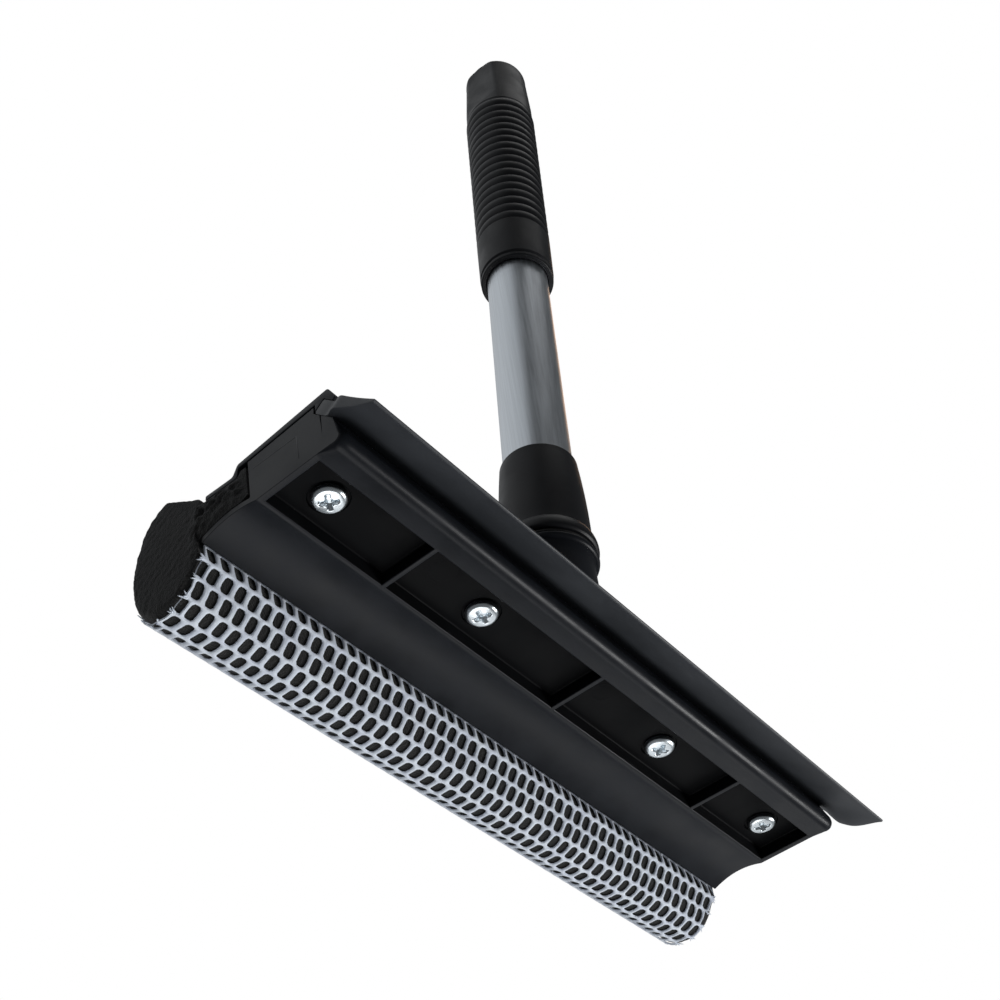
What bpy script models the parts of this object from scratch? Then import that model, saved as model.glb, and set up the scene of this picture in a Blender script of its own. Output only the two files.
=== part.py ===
"""Glass squeegee: a clamped head with a rubber blade, a netted sponge and a screw-on handle.

Lengths are in metres and +Z is up. X runs along the head, +Y is the sponge side and -Y the
blade side. The head is drawn in section with Z = 0 in the plane of the cover's rim, and the
handle along its own leaning axis. One empty then lifts everything, so that the origin is
under the middle of the whole tool.
"""
import math

import bmesh
import bpy
import numpy as np
from mathutils import Matrix, Vector

MM = 0.001

# Fits
GAP = 0.3 * MM
OVERRUN = 1.0 * MM
MERGE = 0.003 * MM

# Head, both halves
BODY_LENGTH = 200.0 * MM
PARTING_BLADE_SIDE = 16.5 * MM
PARTING_SPONGE_SIDE = 15.2 * MM
END_WALL = 1.6 * MM

# Front cover
TROUGH_WIDTH = 15.8 * MM
TROUGH_DEPTH = 3.7 * MM
TROUGH_DRAFT = 0.5 * MM
RIM_LAND = 1.0 * MM
FLOOR_WALL = 2.0 * MM
COVER_WALL = 2.0 * MM
COVER_BLADE_WIDTH = 8.0 * MM
COVER_SPONGE_WIDTH = 12.2 * MM
SPONGE_WALL_LEAN = 1.3 * MM
RIB_WALL = 1.3 * MM
FLANGE_REACH = 16.7 * MM
FLANGE_DROP = 0.7 * MM
FLANGE_WALL = 1.7 * MM
COVE_DEPTH = 1.6 * MM
COVE_STEPS = 6
BEAD_RADIUS = 2.6 * MM
BEAD_OUT = 13.6 * MM
BEAD_DROP = 1.3 * MM
BEAD_STEPS = 7
BEAD_FIRST = math.radians(-75.0)
BEAD_LAST = math.radians(-210.0)
LIP_REACH = 4.4 * MM
END_PANEL_INSET = 3.2 * MM
END_PANEL_DEPTH = 0.4 * MM

# Cover screws
SCREW_END_INSET = 12.6 * MM
SCREW_INNER_PLACE = 36.5 * MM
SCREW_HEAD_RADIUS = 4.0 * MM
SCREW_HEAD_HEIGHT = 2.4 * MM
SCREW_SHANK_RADIUS = 1.9 * MM
SCREW_SHANK_LENGTH = 10.0 * MM
SCREW_POINT_LENGTH = 1.6 * MM
SCREW_CROSS_REACH = 2.3 * MM
SCREW_CROSS_WIDTH = 1.1 * MM
SCREW_CROSS_DEPTH = 1.4 * MM
SCREW_SEAT_DEPTH = 0.5 * MM
SCREW_SEAT_MARGIN = 0.8 * MM
SCREW_SEGMENTS = 20
SCREW_HEAD_SHARES = ((0.0, 1.0), (0.55, 0.97), (0.85, 0.75), (1.0, 0.35), (1.0, 0.0))
BOSS_WALL = 2.2 * MM
BOSS_SEGMENTS = 16

# Back housing
SKIN_PEAK_OUT = 12.1 * MM
SKIN_PEAK_HEIGHT = 19.4 * MM
SKIN_HEEL_OUT = 15.6 * MM
SKIN_HEEL_HEIGHT = 17.0 * MM
CHEEK_LIP = 0.9 * MM
BACK_FLANGE_HEEL_OUT = 17.0 * MM
BACK_FLANGE_HEIGHT = 13.9 * MM
BACK_FLANGE_RISE = 0.5 * MM
BACK_FLANGE_WALL = 1.5 * MM

# Blade
BLADE_MOUTH_OUT = 13.5 * MM
BLADE_MOUTH_HEIGHT = 13.9 * MM
BLADE_ANGLE = math.radians(48.0)
BLADE_FREE = 22.7 * MM
BLADE_ROOT_DEPTH = 3.5 * MM
BLADE_ROOT_THICKNESS = 3.9 * MM
BLADE_TIP_THICKNESS = 0.7 * MM
BLADE_OVERHANG = 4.0 * MM
BLADE_REACH_SHARES = (0.12, 0.36, 0.58, 0.76, 0.9, 1.0)
BLADE_TAPER_SHARES = (0.02, 0.2, 0.45, 0.7, 0.88, 1.0)
BLADE_FLARE_SHARES = (0.05, 0.5, 0.85, 1.0, 1.0, 1.0)

# Sponge
SPONGE_STAND_OFF = 1.15 * MM
SPONGE_HEIGHT = 6.2 * MM
SPONGE_HALF_DEPTH = 11.25 * MM
SPONGE_HALF_HEIGHT = 18.55 * MM
SPONGE_INNER_POWER = 2.5
SPONGE_OUTER_POWER = 2.1
SPONGE_BACK_SLOPE = 0.71
SPONGE_BACK_ROUND = 1.6 * MM
SPONGE_STEPS = 720
SPONGE_NECK_HEEL = 1.7 * MM
SPONGE_END_ROUND = 2.2 * MM
SPONGE_END_SHRINK_SHARE = 0.085
SPONGE_END_STEPS = 3

# Net
NET_THICKNESS = 0.6 * MM
NET_END_INSET = 3.0 * MM
NET_ROWS = 10
NET_COLUMNS = 26
NET_BAND = 1.9 * MM
NET_STRUT = 1.8 * MM

# Handle axis and neck, with heights along the axis from the plane of the rim
HANDLE_LEAN = math.radians(3.44)
HANDLE_FOOT_OUT = 4.3 * MM
NECK_ROOT_HEIGHT = 17.4 * MM
NECK_TOP = 47.0 * MM
NECK_RADIUS = 12.6 * MM
NECK_FLARE_ALONG = 8.0 * MM
NECK_FLARE_ACROSS = 0.8 * MM
NECK_FLARE_HEIGHT = 26.0 * MM
NECK_FLARE_STEPS = 6
COLLAR_RADIUS = 14.0 * MM
COLLAR_HEIGHT = 2.4 * MM
COLLAR_STEPS = 5
COLLAR_LAST = math.radians(68.0)
SOCKET_FLOOR = 23.0 * MM
ROUND_SEGMENTS = 28

# Screw joint between neck and ferrule
THREAD_RADIUS = 9.4 * MM
THREAD_DEPTH = 1.1 * MM
THREAD_PITCH = 4.2 * MM
THREAD_TURNS = 4.5
THREAD_RUNOUT_TURNS = 0.25
THREAD_FOOT_SHARE = 0.3
THREAD_CREST_SHARE = 0.12
THREAD_STEPS_A_TURN = 20
SHANK_BORE_RADIUS = 5.5 * MM
SHANK_TIP_MARGIN = 1.6 * MM
WASHER_THICKNESS = 0.8 * MM
WASHER_LIP = 0.6 * MM

# Ferrule
FERRULE_LENGTH = 35.8 * MM
FERRULE_LIP_RADIUS = 14.3 * MM
FERRULE_LIP_HEIGHT = 5.4 * MM
FERRULE_FOOT_RADIUS = 12.8 * MM
FERRULE_TOP_RADIUS = 11.6 * MM
FERRULE_TOP_ROUND = 0.9 * MM
FERRULE_BULGE = 0.35 * MM
FERRULE_WEB = 6.0 * MM
FERRULE_SPIGOT = 15.0 * MM

# Tube
TUBE_RADIUS = 10.3 * MM
TUBE_WALL = 1.0 * MM
TUBE_BARE_LENGTH = 93.9 * MM

# Grip
GRIP_LENGTH = 140.0 * MM
GRIP_FOOT_RADIUS = 12.4 * MM
GRIP_FOOT_ROUND = 1.0 * MM
GRIP_BAND_LENGTH = 22.5 * MM
GRIP_BAND_RADIUS = 12.85 * MM
GRIP_BAND_STEP = 0.25 * MM
GRIP_RIBS = 18
GRIP_RIB_PITCH = 4.65 * MM
GRIP_RIB_HEIGHT = 0.6 * MM
GRIP_RIB_GROWTH = 0.55 * MM
GRIP_RIB_CREST_SHARES = (0.3, 0.75)
GRIP_FLAT_SPACING = 21.0 * MM
GRIP_FLAT_MARGIN = 1.6 * MM
GRIP_END_RADIUS = 12.2 * MM
GRIP_END_ROUND = 3.4 * MM
GRIP_ROUND_STEPS = 4
GRIP_ROUND_LAST = math.radians(10.0)
GRIP_CAP = 33.0 * MM


def clear_scene():
    """Remove every object that the file was opened with."""
    for item in list(bpy.data.objects):
        bpy.data.objects.remove(item, do_unlink=True)


def material(name, colour, roughness, metallic=0.0):
    """Return a Principled material."""
    made = bpy.data.materials.new(name)
    made.use_nodes = True
    shader = made.node_tree.nodes["Principled BSDF"]
    shader.inputs["Base Color"].default_value = (*colour, 1.0)
    shader.inputs["Roughness"].default_value = roughness
    shader.inputs["Metallic"].default_value = metallic
    made.diffuse_color = (*colour, 1.0)
    return made


def black_plastic():
    """Semi-matte black moulded plastic."""
    return material("black_plastic", (0.022, 0.023, 0.027), 0.45)


def grip_plastic():
    """Softer black plastic of the grip and ferrule."""
    return material("grip_plastic", (0.025, 0.025, 0.027), 0.6)


def blade_rubber():
    """Dark bluish rubber."""
    return material("blade_rubber", (0.035, 0.038, 0.044), 0.5)


def charcoal_foam():
    """Open-cell charcoal foam."""
    return material("charcoal_foam", (0.04, 0.04, 0.04), 0.95)


def white_net():
    """White knitted net."""
    return material("white_net", (0.75, 0.76, 0.83), 0.8)


def zinc_steel():
    """Bright zinc-plated steel."""
    return material("zinc_steel", (0.72, 0.74, 0.76), 0.25, 1.0)


def satin_aluminium():
    """Satin drawn aluminium."""
    return material("satin_aluminium", (0.66, 0.68, 0.7), 0.35, 1.0)


def sealing_rubber():
    """Black sealing rubber."""
    return material("sealing_rubber", (0.012, 0.012, 0.012), 0.7)


def add_object(name, mesh, surface, parent=None):
    """Put a mesh in the scene under a name, with one material and an optional parent."""
    item = bpy.data.objects.new(name, mesh)
    bpy.context.scene.collection.objects.link(item)
    item.parent = parent
    if surface is not None:
        mesh.materials.clear()
        mesh.materials.append(surface)
    return item


def add_empty(name, location, parent=None):
    """Add an empty that carries other objects."""
    item = bpy.data.objects.new(name, None)
    bpy.context.scene.collection.objects.link(item)
    item.location = location
    item.parent = parent
    return item


def finished(work, name):
    """Turn a bmesh into a mesh with its faces pointing out."""
    bmesh.ops.recalc_face_normals(work, faces=work.faces)
    mesh = bpy.data.meshes.new(name)
    work.to_mesh(mesh)
    work.free()
    return mesh


def smooth(mesh, angle=math.radians(35.0)):
    """Shade a mesh smooth, but for its sharp edges."""
    mesh.shade_smooth()
    mesh.set_sharp_from_angle(angle=angle)


def prism(outline, low, high, name="prism"):
    """Extrude a closed outline of (y, z) points along X from low to high."""
    work = bmesh.new()
    corners = [work.verts.new((low, y, z)) for y, z in outline]
    face = work.faces.new(corners)
    grown = bmesh.ops.extrude_face_region(work, geom=[face])
    moved = [part for part in grown["geom"] if isinstance(part, bmesh.types.BMVert)]
    bmesh.ops.translate(work, verts=moved, vec=(high - low, 0, 0))
    return finished(work, name)


def turned(profile, segments=ROUND_SEGMENTS, closed=True, name="turned"):
    """Spin a profile of (radius, z) points about Z. A closed profile makes a ring."""
    work = bmesh.new()
    points = [work.verts.new((radius, 0, z)) for radius, z in profile]
    pairs = list(zip(points, points[1:]))
    if closed:
        pairs.append((points[-1], points[0]))
    edges = [work.edges.new(pair) for pair in pairs]
    bmesh.ops.spin(work, geom=points + edges, cent=(0, 0, 0), axis=(0, 0, 1), dvec=(0, 0, 0),
                   angle=math.tau, steps=segments, use_merge=True, use_duplicate=False)
    bmesh.ops.remove_doubles(work, verts=work.verts, dist=MERGE)
    return finished(work, name)


def lofted(rings, segments=ROUND_SEGMENTS, name="lofted"):
    """Join oval rings of (half length, half width, z) in turn and cap both ends."""
    work = bmesh.new()
    turn = [math.tau * step / segments for step in range(segments)]
    loops = []
    for along, across, height in rings:
        loops.append([work.verts.new((along * math.cos(a), across * math.sin(a), height))
                      for a in turn])
    for below, above in zip(loops, loops[1:]):
        for step in range(segments):
            after = (step + 1) % segments
            work.faces.new((below[step], below[after], above[after], above[step]))
    work.faces.new(loops[0])
    work.faces.new(loops[-1])
    return finished(work, name)


def joined(meshes, name="joined"):
    """Put several separate meshes in one."""
    work = bmesh.new()
    for mesh in meshes:
        work.from_mesh(mesh)
    return finished(work, name)


def shifted(mesh, offset=(0, 0, 0), lean=0.0):
    """Lean a mesh about X, then move it."""
    mesh.transform(Matrix.Translation(Vector(offset)) @ Matrix.Rotation(lean, 4, "X"))
    return mesh


def cut(mesh, tool, operation="DIFFERENCE"):
    """Return the mesh after an exact Boolean with a tool mesh."""
    body = add_object("work_body", mesh, None)
    cutter = add_object("work_cutter", tool, None)
    step = body.modifiers.new("cut", "BOOLEAN")
    step.operation = operation
    step.object = cutter
    step.solver = "EXACT"
    scene = bpy.context.evaluated_depsgraph_get()
    result = bpy.data.meshes.new_from_object(body.evaluated_get(scene))
    bpy.data.objects.remove(body)
    bpy.data.objects.remove(cutter)
    work = bmesh.new()
    work.from_mesh(result)
    bmesh.ops.remove_doubles(work, verts=work.verts, dist=MERGE)
    bmesh.ops.dissolve_degenerate(work, edges=work.edges, dist=MERGE)
    return finished(work, "cut")


def bowed(start, end, rise, steps):
    """Return points from start to end on a parabola that rises to the left of that way."""
    start = Vector(start)
    end = Vector(end)
    way = end - start
    side = Vector((-way.y, way.x)).normalized()
    points = []
    for step in range(steps + 1):
        share = step / steps
        points.append(start + way * share + side * rise * 4 * share * (1 - share))
    return [tuple(point) for point in points]


def arc(centre, radius, first, last, steps):
    """Return points on an arc about a centre, from one angle to another."""
    points = []
    for step in range(steps + 1):
        angle = first + (last - first) * step / steps
        points.append((centre[0] + radius * math.cos(angle), centre[1] + radius * math.sin(angle)))
    return points


# The blade's own axes: reach runs out of its slot to the tip, depth from its back to its front

def blade_point(reach, depth):
    """Return (y, z) for a place measured along the blade and through its thickness."""
    out = BLADE_MOUTH_OUT + reach * math.cos(BLADE_ANGLE) - depth * math.sin(BLADE_ANGLE)
    height = BLADE_MOUTH_HEIGHT - reach * math.sin(BLADE_ANGLE) - depth * math.cos(BLADE_ANGLE)
    return (-out, height)


def blade_thickness(reach):
    """Return the blade's thickness at a reach from the slot's mouth."""
    taper = np.interp(reach / BLADE_FREE, (0.0,) + BLADE_REACH_SHARES, (0.0,) + BLADE_TAPER_SHARES)
    return BLADE_ROOT_THICKNESS - (BLADE_ROOT_THICKNESS - BLADE_TIP_THICKNESS) * float(taper)


def blade_mesh():
    """A tapered strip whose ends flare past the head outside its slot."""
    half = BODY_LENGTH / 2
    stations = [(-BLADE_ROOT_DEPTH, half), (0.0, half)]
    for reach, flare in zip(BLADE_REACH_SHARES, BLADE_FLARE_SHARES):
        stations.append((BLADE_FREE * reach, half + BLADE_OVERHANG * flare))
    work = bmesh.new()
    rings = []
    for reach, end in stations:
        back = blade_point(reach, 0)
        front = blade_point(reach, blade_thickness(max(reach, 0)))
        rings.append([work.verts.new((-end, *back)), work.verts.new((end, *back)),
                      work.verts.new((end, *front)), work.verts.new((-end, *front))])
    for root, tip in zip(rings, rings[1:]):
        for side in range(4):
            after = (side + 1) % 4
            work.faces.new((root[side], root[after], tip[after], tip[side]))
    work.faces.new(rings[0])
    work.faces.new(rings[-1])
    return finished(work, "rubber_blade")


# Front cover

def flange_end():
    """Return how far out both flanges end."""
    return TROUGH_WIDTH / 2 + RIM_LAND + FLANGE_REACH


def flange_line(lift):
    """Return the coved line of the front flange from its root to its end, lifted by lift."""
    root = (flange_end() - FLANGE_REACH, lift)
    end = (flange_end(), lift - FLANGE_DROP)
    return bowed(root, end, COVE_DEPTH, COVE_STEPS)


def sponge_wall_foot():
    """Return where the cover's sponge-side wall stands on the flange."""
    out = COVER_SPONGE_WIDTH - SPONGE_WALL_LEAN
    upper = flange_line(FLANGE_WALL)
    height = float(np.interp(out, [y for y, z in upper], [z for y, z in upper]))
    return (out, height)


def cover_outline():
    """Return the cover's section with its trough and hollow still filled."""
    foot = sponge_wall_foot()
    upper = [point for point in flange_line(FLANGE_WALL) if point[0] > foot[0]]
    bead = (-BEAD_OUT, BEAD_RADIUS - BEAD_DROP)
    slot_depth = BLADE_ROOT_THICKNESS + GAP
    lip_depth = blade_thickness(LIP_REACH) + GAP
    points = list(reversed(flange_line(0)))
    points += [(-TROUGH_WIDTH / 2, 0)]
    points += arc(bead, BEAD_RADIUS, BEAD_FIRST, BEAD_LAST, BEAD_STEPS)
    points += [blade_point(LIP_REACH + GAP, lip_depth + GAP)]
    points += [blade_point(LIP_REACH, lip_depth)]
    points += [blade_point(-BLADE_ROOT_DEPTH - GAP, slot_depth)]
    points += [(-COVER_BLADE_WIDTH, PARTING_BLADE_SIDE)]
    points += [(COVER_SPONGE_WIDTH, PARTING_SPONGE_SIDE)]
    points += [foot]
    points += upper
    return points


def trough_bays():
    """Return the cutters of the trough, one for each bay between the cross ribs."""
    rib_place = (SCREW_INNER_PLACE + BODY_LENGTH / 2 - SCREW_END_INSET) / 2
    end = BODY_LENGTH / 2 - END_WALL
    edges = [-end, -rib_place, 0, rib_place, end]
    rim = TROUGH_WIDTH / 2
    floor = rim - TROUGH_DRAFT
    outline = [(-rim, -OVERRUN), (rim, -OVERRUN), (rim, 0), (floor, TROUGH_DEPTH),
               (-floor, TROUGH_DEPTH), (-rim, 0)]
    bays = []
    for low, high in zip(edges, edges[1:]):
        low_edge = low if low == -end else low + RIB_WALL / 2
        high_edge = high if high == end else high - RIB_WALL / 2
        bays.append(prism(outline, low_edge, high_edge))
    return joined(bays)


def cover_hollow():
    """Return the cutter of the hollow behind the trough's floor."""
    floor = TROUGH_DEPTH + FLOOR_WALL
    foot = sponge_wall_foot()
    blade_side = COVER_BLADE_WIDTH - COVER_WALL
    outline = [(-blade_side - TROUGH_DRAFT, floor), (foot[0] - COVER_WALL, floor),
               (COVER_SPONGE_WIDTH - COVER_WALL, PARTING_SPONGE_SIDE + OVERRUN),
               (-blade_side, PARTING_BLADE_SIDE + OVERRUN)]
    end = BODY_LENGTH / 2 - END_WALL
    return prism(outline, -end, end)


def screw_places():
    """Return the four screw positions along the head."""
    outer = BODY_LENGTH / 2 - SCREW_END_INSET
    return [-outer, -SCREW_INNER_PLACE, SCREW_INNER_PLACE, outer]


def screw_cutters():
    """Return the stepped cutters of the screw seats and holes in the trough's floor."""
    seat_radius = SCREW_HEAD_RADIUS + SCREW_SEAT_MARGIN
    hole_radius = SCREW_SHANK_RADIUS + GAP
    seat = TROUGH_DEPTH + SCREW_SEAT_DEPTH
    top = TROUGH_DEPTH + FLOOR_WALL + OVERRUN
    profile = [(0, TROUGH_DEPTH - OVERRUN), (seat_radius, TROUGH_DEPTH - OVERRUN),
               (seat_radius, seat), (hole_radius, seat), (hole_radius, top), (0, top)]
    tools = []
    for place in screw_places():
        tools.append(shifted(turned(profile, SCREW_SEGMENTS, closed=False), (place, 0, 0)))
    return joined(tools)


def end_panels():
    """Return the cutters of the shallow panel in each end wall."""
    foot = sponge_wall_foot()
    low = END_PANEL_INSET
    high = PARTING_SPONGE_SIDE - END_PANEL_INSET
    outline = [(END_PANEL_INSET - COVER_BLADE_WIDTH, low), (foot[0] - GAP, low),
               (foot[0] - GAP, high), (END_PANEL_INSET - COVER_BLADE_WIDTH, high)]
    end = BODY_LENGTH / 2
    return joined([prism(outline, -end - OVERRUN, END_PANEL_DEPTH - end),
                   prism(outline, end - END_PANEL_DEPTH, end + OVERRUN)])


def cover_mesh():
    """The clamp cover: a trough with ribs, screw seats, a rolled bead and a coved flange."""
    mesh = prism(cover_outline(), -BODY_LENGTH / 2, BODY_LENGTH / 2)
    mesh = cut(mesh, trough_bays())
    mesh = cut(mesh, cover_hollow())
    mesh = cut(mesh, screw_cutters())
    return cut(mesh, end_panels())


# Cover screws

def screw_mesh():
    """A cross-recessed pan head screw with its head below its seat at Z = 0."""
    head = SCREW_HEAD_HEIGHT
    profile = [(SCREW_HEAD_RADIUS * out, -head * height) for out, height in SCREW_HEAD_SHARES]
    profile += [(SCREW_SHANK_RADIUS, 0),
                (SCREW_SHANK_RADIUS, SCREW_SHANK_LENGTH - SCREW_POINT_LENGTH),
                (0, SCREW_SHANK_LENGTH)]
    mesh = turned(profile, SCREW_SEGMENTS, closed=False)
    reach = SCREW_CROSS_REACH
    half = SCREW_CROSS_WIDTH / 2
    star = [(reach, -half), (reach, half), (half, half), (half, reach), (-half, reach),
            (-half, half), (-reach, half), (-reach, -half), (-half, -half), (-half, -reach),
            (half, -reach), (half, -half)]
    work = bmesh.new()
    bottom = [work.verts.new((x, y, -head - OVERRUN)) for x, y in star]
    top = [work.verts.new((x / 2, y / 2, SCREW_CROSS_DEPTH - head)) for x, y in star]
    for step in range(len(star)):
        after = (step + 1) % len(star)
        work.faces.new((bottom[step], bottom[after], top[after], top[step]))
    work.faces.new(bottom)
    work.faces.new(top)
    return cut(mesh, finished(work, "cross"))


# Back housing

def skin_underside(out):
    """Return the height of the housing's underside, a gap above the cover's top edge."""
    return float(np.interp(out, (-COVER_BLADE_WIDTH, COVER_SPONGE_WIDTH),
                           (PARTING_BLADE_SIDE, PARTING_SPONGE_SIDE))) + GAP


def housing_outline():
    """Return the housing's section: skin, blade cheek and sponge flange."""
    mouth = blade_point(0, -GAP)
    slot_end = blade_point(-BLADE_ROOT_DEPTH - GAP, -GAP)
    tongue_out = -COVER_BLADE_WIDTH - GAP
    along_end = (tongue_out - slot_end[0]) / math.sin(BLADE_ANGLE)
    tongue = (tongue_out, slot_end[1] - along_end * math.cos(BLADE_ANGLE))
    inner = BACK_FLANGE_HEIGHT - BACK_FLANGE_WALL
    heel_inner = BACK_FLANGE_HEEL_OUT - BACK_FLANGE_WALL
    return [
        (-SKIN_PEAK_OUT, SKIN_PEAK_HEIGHT),
        (mouth[0] - CHEEK_LIP, mouth[1] + CHEEK_LIP),
        mouth,
        slot_end,
        tongue,
        (tongue_out, skin_underside(tongue_out)),
        (COVER_SPONGE_WIDTH + GAP, skin_underside(COVER_SPONGE_WIDTH)),
        (heel_inner - GAP, skin_underside(COVER_SPONGE_WIDTH)),
        (heel_inner, inner),
        (flange_end(), inner + BACK_FLANGE_RISE),
        (flange_end(), BACK_FLANGE_HEIGHT + BACK_FLANGE_RISE),
        (BACK_FLANGE_HEEL_OUT, BACK_FLANGE_HEIGHT),
        (SKIN_HEEL_OUT, SKIN_HEEL_HEIGHT),
    ]


def neck_mesh():
    """The neck, flared where it meets the skin, with its collar and threaded socket."""
    rings = []
    for step in range(NECK_FLARE_STEPS + 1):
        share = step / NECK_FLARE_STEPS
        height = NECK_ROOT_HEIGHT + NECK_FLARE_HEIGHT * share
        flare = (1 - share) ** 2
        rings.append((NECK_RADIUS + NECK_FLARE_ALONG * flare,
                      NECK_RADIUS + NECK_FLARE_ACROSS * flare, height))
    middle = NECK_TOP - COLLAR_HEIGHT / 2
    proud = COLLAR_RADIUS - NECK_RADIUS
    for out, up in arc((0, 0), 1, -COLLAR_LAST, COLLAR_LAST, COLLAR_STEPS):
        radius = NECK_RADIUS + proud * out
        rings.append((radius, radius, middle + COLLAR_HEIGHT / 2 * up))
    rim = NECK_RADIUS + proud / 4
    bore = THREAD_RADIUS + GAP
    rings += [(rim, rim, NECK_TOP), (bore, bore, NECK_TOP), (bore, bore, SOCKET_FLOOR)]
    return shifted(lofted(rings), (0, HANDLE_FOOT_OUT, 0), HANDLE_LEAN)


def housing_mesh():
    """The back housing: skin, cheek, flange, end walls, screw bosses and neck."""
    mesh = prism(housing_outline(), -BODY_LENGTH / 2, BODY_LENGTH / 2)
    radius = SCREW_SHANK_RADIUS + GAP + BOSS_WALL
    foot = TROUGH_DEPTH + FLOOR_WALL + GAP
    top = (PARTING_SPONGE_SIDE + SKIN_HEEL_HEIGHT) / 2
    profile = [(0, foot), (radius, foot), (radius, top), (0, top)]
    bosses = [shifted(turned(profile, BOSS_SEGMENTS, closed=False), (place, 0, 0))
              for place in screw_places()]
    mesh = cut(mesh, joined(bosses), "UNION")
    mesh = cut(mesh, neck_mesh(), "UNION")
    hole = SCREW_SHANK_RADIUS + GAP
    hole_top = TROUGH_DEPTH + SCREW_SEAT_DEPTH + SCREW_SHANK_LENGTH
    profile = [(0, foot - OVERRUN), (hole, foot - OVERRUN), (hole, hole_top), (0, hole_top)]
    holes = [shifted(turned(profile, BOSS_SEGMENTS, closed=False), (place, 0, 0))
             for place in screw_places()]
    return cut(mesh, joined(holes))


# Sponge and net share one curve, so the net's flats lie on the sponge's flats

def sponge_out():
    """Return how far out the bulb's middle lies, so that its back clears both flanges."""
    return flange_end() + SPONGE_STAND_OFF + SPONGE_HALF_DEPTH


def under_slant(out, height):
    """Return a height kept under the line that slants up from the back flange's end."""
    slant = BACK_FLANGE_HEIGHT + SPONGE_BACK_SLOPE * (out - flange_end())
    share = min(max(0.5 + (slant - height) / (2 * SPONGE_BACK_ROUND), 0.0), 1.0)
    return slant + (height - slant) * share - SPONGE_BACK_ROUND * share * (1 - share)


def bulb_point(angle):
    """Return (y, z) on the sponge's bulb. Angle 0 points away from the head, pi / 2 down."""
    outer = math.cos(angle) >= 0
    power = SPONGE_OUTER_POWER if outer else SPONGE_INNER_POWER
    across = abs(math.cos(angle)) ** (2 / power)
    down = abs(math.sin(angle)) ** (2 / power)
    out = sponge_out() + (SPONGE_HALF_DEPTH if outer else -SPONGE_HALF_DEPTH) * across
    height = SPONGE_HEIGHT - math.copysign(SPONGE_HALF_HEIGHT, math.sin(angle)) * down
    return (out, under_slant(out, height))


def bulb_curve():
    """Return fine points round the bulb, from the front flange to the back flange."""
    fine = [bulb_point(math.pi - math.tau * step / SPONGE_STEPS) for step in range(SPONGE_STEPS + 1)]
    low = FLANGE_WALL - FLANGE_DROP - GAP
    high = BACK_FLANGE_HEIGHT - BACK_FLANGE_WALL + BACK_FLANGE_RISE + GAP
    start = next(step for step, point in enumerate(fine) if point[1] < low)
    stop = max(step for step, point in enumerate(fine) if point[1] > high)
    return np.array(fine[start:stop + 1])


def bulb_stations():
    """Return the bulb's points at each edge of the net's bands, in order round the curve."""
    curve = bulb_curve()
    run = np.concatenate(([0.0], np.cumsum(np.linalg.norm(np.diff(curve, axis=0), axis=1))))
    places = [0.0]
    for row in range(NET_ROWS):
        low = run[-1] * row / NET_ROWS + NET_BAND / 2
        high = run[-1] * (row + 1) / NET_ROWS - NET_BAND / 2
        places += [low, high]
    places.append(run[-1])
    out = np.interp(places, run, curve[:, 0])
    height = np.interp(places, run, curve[:, 1])
    return np.column_stack((out, height))


def offset_line(points, distance):
    """Return a line of (y, z) points moved outwards, each straight by the same distance."""
    way = np.diff(points, axis=0)
    way /= np.linalg.norm(way, axis=1)[:, None]
    side = np.column_stack((way[:, 1], -way[:, 0]))
    before = np.vstack((side[:1], side))
    after = np.vstack((side, side[-1:]))
    mitre = (before + after) / (1 + np.sum(before * after, axis=1))[:, None]
    return points + mitre * distance


def sponge_outline():
    """Return the sponge's section: the bulb and the neck that the two flanges clamp."""
    bulb = [tuple(point) for point in bulb_stations()]
    foot = sponge_wall_foot()
    lower = flange_line(FLANGE_WALL + GAP)
    lower = [point for point in lower if point[0] > foot[0] + GAP + COVER_WALL]
    heel_inner = BACK_FLANGE_HEEL_OUT - BACK_FLANGE_WALL - GAP
    ceiling = BACK_FLANGE_HEIGHT - BACK_FLANGE_WALL - GAP
    root_low = (foot[0] + GAP + SPONGE_NECK_HEEL / 4, foot[1] + SPONGE_NECK_HEEL)
    root_high = (COVER_SPONGE_WIDTH + 2 * GAP, ceiling + SPONGE_NECK_HEEL)
    return bulb + [(flange_end(), ceiling + BACK_FLANGE_RISE), (heel_inner, ceiling),
                   (heel_inner - SPONGE_NECK_HEEL / 2, ceiling + SPONGE_NECK_HEEL),
                   root_high, root_low] + lower


def sponge_mesh():
    """The foam bar, drawn in and rounded towards its cut ends."""
    outline = np.array(sponge_outline())
    bulb = np.maximum(outline[:, 0] - flange_end(), 0)
    rings = []
    for step in range(SPONGE_END_STEPS + 1):
        angle = math.pi / 2 * step / SPONGE_END_STEPS
        end = BODY_LENGTH / 2 - SPONGE_END_ROUND * (1 - math.sin(angle))
        shrink = SPONGE_END_SHRINK_SHARE * (1 - math.cos(angle))
        out = outline[:, 0] - bulb * shrink
        height = outline[:, 1] - (outline[:, 1] - SPONGE_HEIGHT) * shrink
        rings.append((end, np.column_stack((out, height))))
    rings = [(-end, ring) for end, ring in reversed(rings)] + rings
    work = bmesh.new()
    loops = [[work.verts.new((end, y, z)) for y, z in ring] for end, ring in rings]
    for before, after in zip(loops, loops[1:]):
        for step in range(len(before)):
            following = (step + 1) % len(before)
            work.faces.new((before[step], before[following], after[following], after[step]))
    work.faces.new(loops[0])
    work.faces.new(loops[-1])
    return finished(work, "foam_sponge")


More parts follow.
